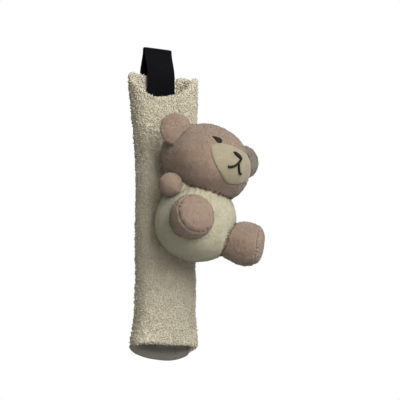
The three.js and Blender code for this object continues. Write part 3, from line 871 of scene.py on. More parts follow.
@dataclass
class Stage:
    """The camera at the photograph's angle, soft studio light, and a pale floor."""

    azimuth: float = -45
    elevation: float = -4.8
    distance: float = 3000
    frame_width: float = 400
    aim_right: float = 34
    aim_height: float = 159.2
    lamp_aim: tuple[float, float, float] = (0, -20, 150)
    floor_height: float = -300
    floor_half: float = 4000

    def camera(self) -> None:
        """Makes the camera."""
        a, e = math.radians(self.azimuth), math.radians(self.elevation)
        right = Vector((math.cos(a), math.sin(a), 0))
        back = Vector((math.sin(a) * math.cos(e), -math.cos(a) * math.cos(e), math.sin(e)))
        aim = right * self.aim_right + Vector((0, 0, self.aim_height))
        data = bpy.data.cameras.new("camera")
        data.sensor_width = 36
        data.lens = data.sensor_width * self.distance / self.frame_width
        data.clip_end = 20
        bpy.context.scene.camera = hung("camera", data, aim + back * self.distance, -back, "-Z")

    def lamps(self) -> None:
        """Hangs the soft lamps, each with its direction, distance, side in millimetres, and watts."""
        right, front, up = Vector((0.7071, -0.7071, 0)), Vector((-0.7071, -0.7071, 0)), Vector((0, 0, 1))
        for name, towards, far, size, power in (
                ("key", right * 0.6 + front * 0.78 + up * 0.62, 2600, 2200, 108),
                ("fill", right * 0.0 + front * 1.0 - up * 0.1, 1600, 1400, 6.8),
                ("back", right * 0.1 - front * 1.0 + up * 0.6, 1500, 1000, 8)):
            data = bpy.data.lights.new(name, "AREA")
            data.size, data.energy = size * MM, power
            way = towards.normalized()
            hung(name, data, Vector(self.lamp_aim) + way * far, way, "Z")

    def surroundings(self) -> None:
        """Makes the white world and the floor."""
        world = bpy.data.worlds.new("studio")
        bpy.context.scene.world = world
        world.use_nodes = True
        tree = world.node_tree
        tree.nodes.clear()
        strength = add_node(tree, "ShaderNodeMapRange", {"Value": self.seen_rays(tree), "To Min": 0.17,
                                                         "To Max": 1.0})
        white = add_node(tree, "ShaderNodeBackground", {"Color": (1, 1, 1, 1), "Strength": strength})
        add_node(tree, "ShaderNodeOutputWorld", {"Surface": white})
        corners = [(x * self.floor_half, y * self.floor_half, self.floor_height)
                   for x, y in ((-1, -1), (1, -1), (1, 1), (-1, 1))]
        floor = mesh_piece("floor", np.array(corners), [(0, 1, 2, 3)])
        # White paper: a matt grey to the pad's light, and a glow that the camera sees as white
        paper = bpy.data.materials.new("white_paper_backdrop")
        paper.use_nodes = True
        tree = paper.node_tree
        tree.nodes.clear()
        matt = add_node(tree, "ShaderNodeBsdfDiffuse", {"Color": (0.32, 0.32, 0.32, 1)})
        glow = add_node(tree, "ShaderNodeEmission", {"Strength": 1.0})
        share = add_node(tree, "ShaderNodeMath", {0: self.seen_rays(tree), 1: 0.84}, operation="MULTIPLY")
        mixed = add_node(tree, "ShaderNodeMixShader", {0: share, 1: matt, 2: glow})
        add_node(tree, "ShaderNodeOutputMaterial", {0: mixed})
        floor.data.materials.append(paper)
        bpy.context.scene.view_settings.view_transform = "Standard"

    @staticmethod
    def seen_rays(tree: NodeTree) -> Node:
        """Says which rays show the background: those of the camera, and those off or through a surface."""
        path = add_node(tree, "ShaderNodeLightPath").outputs
        first = add_node(tree, "ShaderNodeMath", {0: path["Is Camera Ray"], 1: path["Is Glossy Ray"]},
                         operation="MAXIMUM")
        return add_node(tree, "ShaderNodeMath", {0: first, 1: path["Is Transmission Ray"]},
                        operation="MAXIMUM")


# Sleeve


@dataclass
class Wall:
    """A layer of the sleeve, with each point's angle round it, height and depth."""

    piece: Piece
    angle: np.ndarray
    height: np.ndarray
    depth: np.ndarray


@dataclass
class Sleeve:
    """The pile cover, the wadding in it and the lining."""

    form: SleeveForm
    finishes: Finishes
    growth: GrowthTree
    threads: ThreadTree
    cover: float = 3
    padding: float = 4.1
    lining: float = 1
    gap: float = 0.3
    hem: float = 5
    top_facing: float = 24
    lining_setback: float = 1
    strap_half_width: float = 19.6
    strap_low: float = 247
    stitch_turn: float = 0.115

    @property
    def deep(self) -> float:
        """The depth of the cover with the padding in it."""
        return self.cover + self.gap + self.padding

    def wall(self, name: str, outline: Callable[[np.ndarray], Section], steps: int, gap: float = 1.0) -> Wall:
        """Carries a closed outline of heights and depths round the sleeve from one side of the slit.

        Args:
            name: the piece's name.
            outline: gives the heights and depths of the wall's section at angles.
            steps: how many sections there are.
            gap: how far its edges stand apart at the slit.
        Returns:
            The closed wall.
        """
        slit = math.radians(self.form.slit_angle)
        half = gap / 2 / self.form.waist_half_width
        angles = slit + half + (2 * np.pi - 2 * half) * np.arange(steps + 1) / steps
        heights, depths = outline(angles)
        count = heights.shape[1]
        points = self.form.point(angles[:, None] + 0 * heights, heights, depths).reshape(-1, 3)
        pairs = [(i * count + k, i * count + (k + 1) % count) for i in range(steps) for k in range(count)]
        faces = [(a, a + count, b + count, b) for a, b in pairs]
        faces += [range(count), [steps * count + k for k in reversed(range(count))]]
        return Wall(closed_piece(name, points, faces), np.repeat(angles, count), heights.ravel(),
                    depths.ravel())

    def cover_outline(self, angle: np.ndarray) -> Section:
        """The cover's section: up its outside, over the rim, down the facing, and round the lower hem."""
        deep, bow = self.deep, np.linspace(0, np.pi, 9)
        low, high = (edge[:, None] for edge in self.form.edges(angle))
        rise, rise_below = deep * 0.42, self.rim_rise(angle)
        up = (low + rise_below) + np.linspace(0, 1, 150)[None, :] * (high - low - rise - rise_below)
        over = (high - rise) + rise * np.sin(bow)[None, :]
        under = (low + rise_below) - rise_below * np.sin(bow)[None, :]
        arc = (deep / 2 * (1 - np.cos(bow)))[None, :]
        facing = (high - rise) - np.linspace(0, 1, 12)[None, :] * (self.top_facing - rise)
        hem = low + np.maximum(self.hem, rise_below + 0.5)
        inside = hem + np.linspace(1, 0, 12)[None, :] * (high - hem - self.top_facing)
        heights = [up, over[:, 1:-1], facing, inside, hem, low + rise_below, under[:, 1:-1][:, ::-1]]
        depths = [0 * up, arc[:, 1:-1] + 0 * high, 0 * facing + deep, 0 * inside + self.cover,
                  0 * low + deep, 0 * low + deep, arc[:, 1:-1][:, ::-1] + 0 * low]
        return np.concatenate(heights, 1), np.concatenate(depths, 1)

    def rim_rise(self, angle: np.ndarray) -> np.ndarray:
        """How high the lower rim's rounding is, more at the back, where the lining rolls over it."""
        return self.deep * (0.42 + 0.5 * self.turned(angle))

    @staticmethod
    def turned(angle: np.ndarray) -> np.ndarray:
        """How far the lining is rolled out over the lower rim at angles, from 0 in front to 1 at the back."""
        return smooth_rise((np.sin(angle) + 0.1) / 0.45)[:, None]

    def wadding_outline(self, angle: np.ndarray) -> Section:
        """The wadding's section: up its outside and down its inside, short of both mouths."""
        low, high = self.form.edges(angle)
        short_low, short_high = self.hem + self.gap, self.top_facing + self.gap
        outer = self.cover + self.gap
        up = (low + short_low)[:, None]
        up = up + np.linspace(0, 1, 60)[None, :] * (high - low - (short_low + short_high))[:, None]
        depths = [0 * up + outer, 0 * up + (outer + self.padding - self.gap)]
        return np.concatenate([up, up[:, ::-1]], 1), np.concatenate(depths, 1)

    def lining_outline(self, angle: np.ndarray) -> Section:
        """The lining's section: up its outside, down its inside, and rolled out at the back below."""
        low, high = (edge[:, None] for edge in self.form.edges(angle))
        outer = self.cover + self.padding + 2 * self.gap
        inner = outer + self.lining
        top = high - self.top_facing + self.lining_setback
        turned, rim, deep = self.turned(angle), self.rim_rise(angle), self.deep
        start = low + self.lining_setback + turned * (rim - self.lining_setback)
        rise = start + np.linspace(0, 1, 60)[None, :] * (top - start)
        bend = np.pi * 0.72 * np.linspace(0.03, 1, 14)[None, :]
        way_out, reach = [], []
        for depth in (outer, inner):
            off = depth - deep
            way_out.append(start + turned * (low + (rim + off) * (1 - np.sin(bend)) - off - start))
            reach.append(depth + turned * (deep / 2 + (deep / 2 + off) * np.cos(bend) - depth))
        heights = [way_out[0][:, ::-1], rise, rise[:, ::-1], way_out[1]]
        depths = [reach[0][:, ::-1], 0 * rise + outer, 0 * rise + inner, reach[1]]
        return np.concatenate(heights, 1), np.concatenate(depths, 1)

    def slit_lines(self) -> list[np.ndarray]:
        """The two lines of stitching beside the slit."""
        share, depth = np.linspace(0, 2.9, 5), 0.5 - 0.6 * np.sin(np.pi * np.linspace(0, 1, 5))
        return [self.form.point(np.full(5, math.radians(self.form.slit_angle) + way * self.stitch_turn),
                                z + share, depth)
                for way in (-1, 1) for z in np.arange(14, 276, 4.2)]

    def build(self, covered: Callable[[np.ndarray], np.ndarray]) -> None:
        """Makes the cover, its pile, the wadding and the lining.

        Args:
            covered: says how far points are from what is sewn on.
        """
        wall = self.wall("sherpa_cover", self.cover_outline, 150)
        cover, points = wall.piece, points_of(wall.piece)
        low, high = self.form.edges(wall.angle)
        rim_front = (wall.height < low + 3) & (wall.depth < 6.5) & (np.sin(wall.angle) < -0.1)
        outer = wall.depth < self.cover - 0.1
        shown = (outer | (wall.height > high - self.top_facing + 1) | rim_front).astype(float)
        behind = points[:, 1] > 0
        strap = (np.abs(points[:, 0]) < self.strap_half_width) & behind & (points[:, 2] > self.strap_low)
        free = np.where(strap, 0, smooth_rise((covered(points) - 0.8) / 3))
        lumps = 0.5 * ripple(points, 4.2) + 0.35 * ripple(points, 2.2, 9.0)
        waves = 0.8 * ripple(points, 34, 4.0) + 0.45 * ripple(points, 13, 2.0)
        slit = np.mod(wall.angle - math.radians(self.form.slit_angle) + np.pi, 2 * np.pi) - np.pi
        off_stitches = np.abs(slit) - self.stitch_turn
        channel = 0.7 * np.exp(-((off_stitches / 0.03) ** 2)) * (wall.depth < 0.5)
        for edge, up, depth in ((low, 13, 0.4), (high, -9, 0.3)):
            channel += depth * np.exp(-(((wall.height - (edge + up)) / 3.0) ** 2)) * (wall.depth < 0.5)
        push_out(cover, (lumps * (0.3 + 0.7 * free) + waves - 1.4) * shown - channel)
        rim_below = smooth_rise((wall.height - low - 0.4) / 1.5) * outer
        rim_below = rim_below + rim_front + (wall.height > low + 30)
        thick = shown * free * np.clip(rim_below, 0, 1) * (np.abs(off_stitches) > 0.02)
        pile = self.finishes.cover_pile
        for side, there in (("front", ~behind), ("back", behind)):
            keep_pile(cover, thick * there)
            wear(self.growth.grow(f"sherpa_pile_{side}", cover, pile, spacing=1.35, length=1.2, radius=0.86,
                                  lean=1.05, curl=1.0, tip=0.6, flow=0.1, root_depth=0.7, root_shade=0.3,
                                  tint=0.2, seed=5), pile, "cover_pile")
        wear(cover, pile, "cover_pile", "sleeve_cover")
        self.threads.sew("closure_stitches", self.slit_lines(), 0.3, self.finishes.cream_thread, "cover_pile")
        wadding = self.wall("wadding", self.wadding_outline, 90).piece
        wear(wadding, self.finishes.wadding, "padding_foam", "sleeve_padding")
        lining = self.wall("lining_tube", self.lining_outline, 110, 0.25).piece
        wear(lining, self.finishes.lining, "lining_cloth", "sleeve_lining")


@dataclass
class Closure:
    """The flap under the slit, and its hook and loop tapes."""

    form: SleeveForm
    finishes: Finishes
    face: float = 4.4
    thickness: float = 1.0
    left: float = -10
    low: float = 12
    high: float = 244
    wall_depth: float = 8.7

    def build(self) -> None:
        """Makes the flap, and dresses the tapes that the frame carries."""
        heights = np.linspace(self.low, self.high, 80)
        reach = (self.face + 0.3) / (self.form.half_thickness + self.form.crown - self.wall_depth)
        angle = math.asin(reach ** (self.form.power / 2))
        right = self.form.point(np.full(80, angle), heights, np.full(80, self.wall_depth))[:, 0] - 0.4
        share = np.linspace(0, 1, 16)
        x = self.left + share[None, :] * (right[:, None] - self.left)
        curl = 0.5 * (1 - smooth_rise(share * 5))[None, :]
        flat = np.stack([x, 0 * x + self.face, np.repeat(heights[:, None], 16, 1)], -1)
        sag = 0.25 * (1 + ripple(flat.reshape(-1, 3), 18)).reshape(x.shape) + curl
        outer = flat - np.array([0, 1, 0]) * sag[..., None]
        flap = self.slab("closure_flap_cloth", outer, outer - np.array([0, self.thickness * 0.9, 0]))
        wear(flap, self.finishes.lining, "lining_cloth", "closure_flap")
        for node, finish in (("hook_tape", self.finishes.hook), ("loop_tape", self.finishes.loop)):
            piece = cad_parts[node]
            piece.data.materials.clear()
            piece.data.materials.append(finish)
            log.info("%s: carried from the frame", node)

    @staticmethod
    def slab(name: str, upper: np.ndarray, lower: np.ndarray) -> Piece:
        """Closes two grids of points into a thin slab.

        Args:
            name: the piece's name.
            upper: a grid of points.
            lower: the grid on its other side.
        Returns:
            The slab.
        """
        rows, columns = upper.shape[:2]
        size = rows * columns
        faces = []
        for i in range(rows - 1):
            for k in range(columns - 1):
                a = i * columns + k
                quad = (a, a + 1, a + columns + 1, a + columns)
                faces += [quad, tuple(size + v for v in reversed(quad))]
        rim = [*range(columns), *(i * columns + columns - 1 for i in range(1, rows))]
        rim += [(rows - 1) * columns + k for k in range(columns - 2, -1, -1)]
        rim += [i * columns for i in range(rows - 2, 0, -1)]
        faces += [(b, a, size + a, size + b) for a, b in zip(rim, rim[1:] + rim[:1])]
        return closed_piece(name, np.concatenate([upper.reshape(-1, 3), lower.reshape(-1, 3)]), faces)


@dataclass
class StrapLoop:
    """Black webbing folded over the back edge of the upper mouth."""

    finishes: Finishes
    threads: ThreadTree
    width: float = 38
    thickness: float = 1.5
    inside: float = 7.25
    outside: float = 18.05
    low: float = 250
    shoulder: float = 289
    top: float = 313
    fold_gap: float = 0.6
    box: Points = ((-15, 254), (15, 254), (15, 276), (-15, 276))
    pitch: float = 3

    def line(self) -> np.ndarray:
        """The webbing's middle line, in depth and height, from inside the sleeve over to its back."""
        half = self.thickness / 2
        fold = half + self.fold_gap / 2
        middle = (self.inside + self.outside) / 2
        crest = self.top - half - fold
        turns = np.radians(np.linspace(180, 0, 9))
        up = np.linspace(self.low, self.shoulder - 4, 16)
        lean = np.linspace(0, 1, 12)
        rise = self.shoulder - 4 + lean * (crest - self.shoulder + 4)
        ease = smooth_rise(lean)
        legs = [np.stack([np.concatenate([0 * up + y, (y + (middle + way * fold - y) * ease)[1:]]),
                          np.concatenate([up, rise[1:]])], 1)
                for y, way in ((self.inside, -1), (self.outside, 1))]
        bow = np.stack([middle + fold * np.cos(turns), crest + fold * np.sin(turns)], 1)[1:-1]
        return np.concatenate([legs[0], bow, legs[1][::-1]])

    def webbing(self) -> Piece:
        """Makes the webbing with rounded selvedges and ribs along it."""
        line = self.line()
        tangent = units(np.gradient(line, axis=0))
        side = np.stack([-tangent[:, 1], tangent[:, 0]], 1)
        across = np.linspace(-1, 1, 60)
        edge = np.sqrt(np.clip(1 - np.abs(across) ** 14, 0.04, 1))
        rib = 1 + 0.07 * np.cos(across * np.pi * 12) + 0.1 * (np.abs(np.abs(across) - 0.93) < 0.03)
        section = np.concatenate([
            np.stack([across[order] * self.width / 2, (sign * self.thickness / 2 * edge * rib)[order]], 1)
            for sign, order in ((1, slice(None)), (-1, slice(None, None, -1)))])
        points = [np.stack([section[:, 0], y + sy * section[:, 1], z + sz * section[:, 1]], 1)
                  for (y, z), (sy, sz) in zip(line, side)]
        size, last = len(section), len(line) - 1
        pairs = [(i * size + k, i * size + (k + 1) % size) for i in range(last) for k in range(size)]
        faces = [(a, b, b + size, a + size) for a, b in pairs]
        faces += [tuple(reversed(range(size))), tuple(last * size + k for k in range(size))]
        return closed_piece("webbing_loop", np.concatenate(points), faces)

    def build(self) -> None:
        """Makes the webbing and the box stitch that holds it to the back."""
        wear(self.webbing(), self.finishes.webbing, "webbing", "strap_loop")
        y = self.outside + self.thickness / 2 + 0.05
        bump = 0.22 * np.sin(np.pi * np.linspace(0, 1, 5)) - 0.05
        lines = []
        for start, end in ((0, 1), (1, 2), (2, 3), (3, 0), (0, 2), (1, 3)):
            (x0, z0), (x1, z1) = self.box[start], self.box[end]
            span = math.hypot(x1 - x0, z1 - z0)
            for k in range(int(span / self.pitch)):
                share = np.linspace(k * self.pitch + 0.3, k * self.pitch + 2.7, 5) / span
                lines.append(np.stack([x0 + share * (x1 - x0), y + bump, z0 + share * (z1 - z0)], 1))
        self.threads.sew("strap_stitches", lines, 0.26, self.finishes.strap_thread, "webbing")


# Bear


class Ground:
    """A surface that other things are laid on."""

    def __init__(self, *pieces: Piece) -> None:
        """Reads the pieces' faces.

        Args:
            pieces: the pieces that make up the surface.
        """
        base = bmesh.new()
        for piece in pieces:
            base.from_mesh(piece.data)
        self.tree = BVHTree.FromBMesh(base)
        base.free()

    def seat(self, point: np.ndarray, lift: float) -> np.ndarray:
        """The nearest place on the surface, lifted off it."""
        place, normal, _, _ = self.tree.find_nearest(Vector(point * MM))
        return np.array(place) / MM + np.array(normal) * lift

    def far(self, points: np.ndarray) -> np.ndarray:
        """How far points are from the surface."""
        return np.array([self.tree.find_nearest(Vector(p))[3] for p in points * MM]) / MM


@dataclass
class Face:
    """The muzzle patch, and the embroidered eyes, nose and mouth, laid on the finished head."""

    form: HeadForm
    finishes: Finishes
    threads: ThreadTree
    muzzle_half_width: float = 30.5
    muzzle_top: float = 9.2
    muzzle_bottom: float = -25.5
    muzzle_level: float = -1
    patch: float = 1.3
    eye_offset: float = 24.2
    eye_height: float = 11.2
    eye_length: float = 7.8
    eye_width: float = 7.6
    eye_slant: float = 30
    nose_across: float = -4.0
    nose_level: float = 1.6
    nose_length: float = 12.0
    nose_height: float = 4.0
    nose_slant: float = 12
    right_mouth: Points = ((1.2, 0.8), (0, -2.8), (-1.7, -5.7), (-4, -9), (-6.6, -11.1), (-9.4, -12.7),
                           (-11.8, -13))
    left_mouth: Points = ((-1.3, -5.2), (0.4, -9.1), (2.6, -11.6), (5.2, -13.3), (8, -13.4))
    thread: float = 0.36
    strand_step: float = 0.45
    strand_twist: float = 4.4
    strand_swing: float = 0.58

    def seen(self, ground: Ground, across: float, up: float, lift: float) -> np.ndarray:
        """The place on the face behind a point of its drawing.

        Args:
            ground: what the place is on.
            across: to the bear's left, in the head's frame.
            up: above the head's middle.
            lift: how far off the surface.
        Returns:
            The place, in the row's frame.
        """
        matrix = self.form.matrix()
        start = matrix @ Vector((across, -90, up))
        way = (matrix.to_3x3() @ Vector((0, 1, 0))).normalized()
        place, normal, _, _ = ground.tree.ray_cast(start * MM, way)
        if place is None:
            place, normal, _, _ = ground.tree.find_nearest((matrix @ Vector((across, -30, up))) * MM)
        return np.array(place) / MM + np.array(normal) * lift

    def eye_half(self, inward: float) -> float:
        """An eye's half width, pointed at its outer end and blunt at its inner one."""
        share = min(max(inward / self.eye_length + 0.5, 0.0), 1.0)
        return self.eye_width / 2 * min(1.0, 1.5 * share) * math.sqrt(1 - share ** 5)

    def muzzle_edge(self) -> np.ndarray:
        """The patch's outline in the drawing of the face, as points in order."""
        wide, level = self.muzzle_half_width, self.muzzle_level
        top, bottom = self.muzzle_top, self.muzzle_bottom
        curves = [((0, bottom), (0.4 * wide, bottom + 1), (wide, 0.55 * bottom), (wide, level)),
                  ((wide, level), (wide, 0.7 * top), (0.62 * wide, top + 1), (0, top)),
                  ((0, top), (-0.62 * wide, top + 1), (-wide, 0.7 * top), (-wide, level)),
                  ((-wide, level), (-wide, 0.55 * bottom), (-0.4 * wide, bottom + 1), (0, bottom))]
        found = []
        for a, b, c, d in (np.array(curve, float) for curve in curves):
            t = np.linspace(0, 1, 24, endpoint=False)[:, None]
            found.append((1 - t) ** 3 * a + 3 * (1 - t) ** 2 * t * b + 3 * (1 - t) * t * t * c + t ** 3 * d)
        return np.concatenate(found)

    def muzzle(self, head: Ground) -> Piece:
        """The patch, its edge turned under and sewn down."""
        edge = self.muzzle_edge()
        middle = np.array([0, -7.0])
        rings = np.concatenate([np.linspace(0.02, 0.86, 14), [0.91, 0.95, 0.98, 1.0]])
        upper, lower = [], []
        for share in rings:
            ring = middle + (edge - middle) * share
            off = lengths(edge - ring)
            rise = self.patch * np.sqrt(np.clip(1 - (1 - np.minimum(off / 2.4, 1)) ** 2, 0, 1)) + 0.12
            upper.append([self.seen(head, x, z, r) for (x, z), r in zip(ring, rise)])
            lower.append([self.seen(head, x, z, 0.05) for x, z in ring])
        count = len(edge)
        size, last = count * len(rings), (len(rings) - 1) * count
        faces = []
        for i in range(len(rings) - 1):
            for k in range(count):
                a, b = i * count + k, i * count + (k + 1) % count
                quad = (a, b, b + count, a + count)
                faces += [quad, tuple(size + v for v in reversed(quad))]
        pairs = [(last + k, last + (k + 1) % count) for k in range(count)]
        faces += [(b, a, size + a, size + b) for a, b in pairs]
        faces += [range(count), [size + k for k in reversed(range(count))]]
        points = np.concatenate([np.array(upper).reshape(-1, 3), np.array(lower).reshape(-1, 3)])
        return closed_piece("muzzle", points, faces)

    def satin(self, name: str, ground: Ground, middle: tuple[float, float], turn: float, length: float,
              width: Callable[[float], float], arch: float) -> Piece:
        """A shape filled with threads laid side by side across it.

        Args:
            name: the piece's name.
            ground: what it is sewn on.
            middle: its middle in the drawing of the face.
            turn: how far its long axis is turned up from level.
            length: its length.
            width: its half width at a place along it.
            arch: how high its middle stands.
        Returns:
            The threads, which stand for the node of the same name without its first word.
        """
        along = np.array([math.cos(turn), math.sin(turn)])
        over = np.array([-along[1], along[0]])
        lines = []
        ends = [self.seen(ground, *(np.array(middle) + along * share * length), 0.0)
                for share in (-0.5, 0, 0.5)]
        steps = int(sum(np.linalg.norm(b - a) for a, b in zip(ends, ends[1:])) / (1.2 * self.thread))
        for i in range(steps):
            u = -length / 2 + (i + 0.5) * length / steps
            half = max(width(u), 0.5)
            row = []
            for v in np.linspace(-1, 1, 9):
                x, z = np.array(middle) + along * (u + 0.1 * math.sin(i * 2.4)) + over * v * half
                full = math.sqrt(max(0.0, 1 - v * v))
                row.append(self.seen(ground, x, z, 0.1 + arch * full * min(1.0, half / 1.6)))
            lines.append(np.array(row))
        return self.threads.sew(name, lines, self.thread, self.finishes.embroidery, "embroidery",
                                name.removeprefix("embroidered_"), end=0.8)

    def mouth(self, side: int, ground: Ground) -> list[np.ndarray]:
        """Two strands twisted together, from below the nose down and out to a side."""
        drawn = np.array(self.right_mouth if side < 0 else self.left_mouth, float)
        before = np.concatenate([drawn[:1], drawn[:-2]])
        after = np.concatenate([drawn[2:], drawn[-1:]])
        fine = []
        for a, b, c, d in zip(before, drawn[:-1], drawn[1:], after):
            for t in np.linspace(0, 1, 8, endpoint=False):
                fine.append(0.5 * (2 * b + (c - a) * t + (2 * a - 5 * b + 4 * c - d) * t * t
                                   + (3 * b - a - 3 * c + d) * t ** 3))
        fine.append(drawn[-1])
        line = np.array([self.seen(ground, x, z, 0.55) for x, z in fine])
        line = fine_line(line, self.strand_step, False)
        tangent = units(np.gradient(line, axis=0))
        outward = np.array([ground.seat(p, 1.0) - ground.seat(p, 0.0) for p in line])
        across = np.cross(tangent, outward)
        phase = np.arange(len(line)) * self.strand_step * 2 * np.pi / self.strand_twist
        return [line + self.strand_swing * (np.cos(phase + start)[:, None] * across
                                            + np.sin(phase + start)[:, None] * outward)
                for start in (0, np.pi)]

    def build(self, head: Piece) -> list[Piece]:
        """Lays the face on the finished head.

        Args:
            head: the head's cloth.
        Returns:
            What lies on the head's own cloth.
        """
        skin = Ground(head)
        muzzle = self.muzzle(skin)
        wear(muzzle, self.finishes.muzzle, "suit_fleece", "muzzle_patch")
        patch = Ground(muzzle)
        laid = [muzzle]
        for name, side in SIDES:
            laid.append(self.satin(f"embroidered_eye_{name}", skin, (side * self.eye_offset, self.eye_height),
                                   side * math.radians(self.eye_slant), self.eye_length,
                                   lambda u, side=side: self.eye_half(-side * u), 0.9))
            self.threads.sew(f"embroidered_mouth_{name}", self.mouth(side, patch), 0.86,
                             self.finishes.embroidery, "embroidery", f"mouth_thread_{name}", end=0.7)
        self.satin("embroidered_nose", patch, (self.nose_across, self.nose_level),
                   -math.radians(self.nose_slant), self.nose_length,
                   lambda u: self.nose_height / 2 * (1 - abs(2 * u / self.nose_length) ** 2.6), 1.5)
        return laid


@dataclass
class Limb:
    """A stuffed limb's own shape: where it starts, where it points, and its radius along its axis."""

    start: np.ndarray
    tip: np.ndarray
    profile: Sequence[tuple[float, float]]

    def axes(self) -> tuple[np.ndarray, np.ndarray, np.ndarray, float]:
        """The limb's direction, two directions across it, and its length."""
        along = self.tip - self.start
        length = float(np.linalg.norm(along))
        along = along / length
        across = np.cross(along, [0, 0, 1.0])
        across /= np.linalg.norm(across)
        return along, across, np.cross(along, across), length

    def point(self, angle: float, s: float, grow: float = 0.0) -> np.ndarray:
        """A point of the limb's surface, at an angle and a length along it."""
        along, across, up, _ = self.axes()
        radius = np.interp(s, [p[1] for p in self.profile], [p[0] for p in self.profile]) + grow
        return self.start + along * s + radius * (math.cos(angle) * across + math.sin(angle) * up)

    def ring(self, s: float, grow: float = 0.0) -> np.ndarray:
        """The line round the limb at a length along it."""
        return fine_line([self.point(a, s, grow) for a in np.linspace(0, 2 * np.pi, 60, endpoint=False)])

    def join(self, body: BodyForm) -> np.ndarray:
        """The line where the limb comes out of the body."""
        _, _, _, length = self.axes()
        found = []
        for angle in np.linspace(0, 2 * np.pi, 72, endpoint=False):
            low, high = 0.0, length
            for _ in range(22):
                middle = (low + high) / 2
                low, high = (middle, high) if body.holds(self.point(angle, middle)) else (low, middle)
            found.append(self.point(angle, high))
        return fine_line(found)


@dataclass(frozen=True)
class Bag:
    """How a stuffed bag is made: its skin's face size and smoothing, its filling, its hollows and its nap."""

    voxel: float
    passes: int
    cap: float
    fullness: float
    hollows: tuple[float, float] = (0, 1)
    nap: tuple[float, float] = (1, 1)


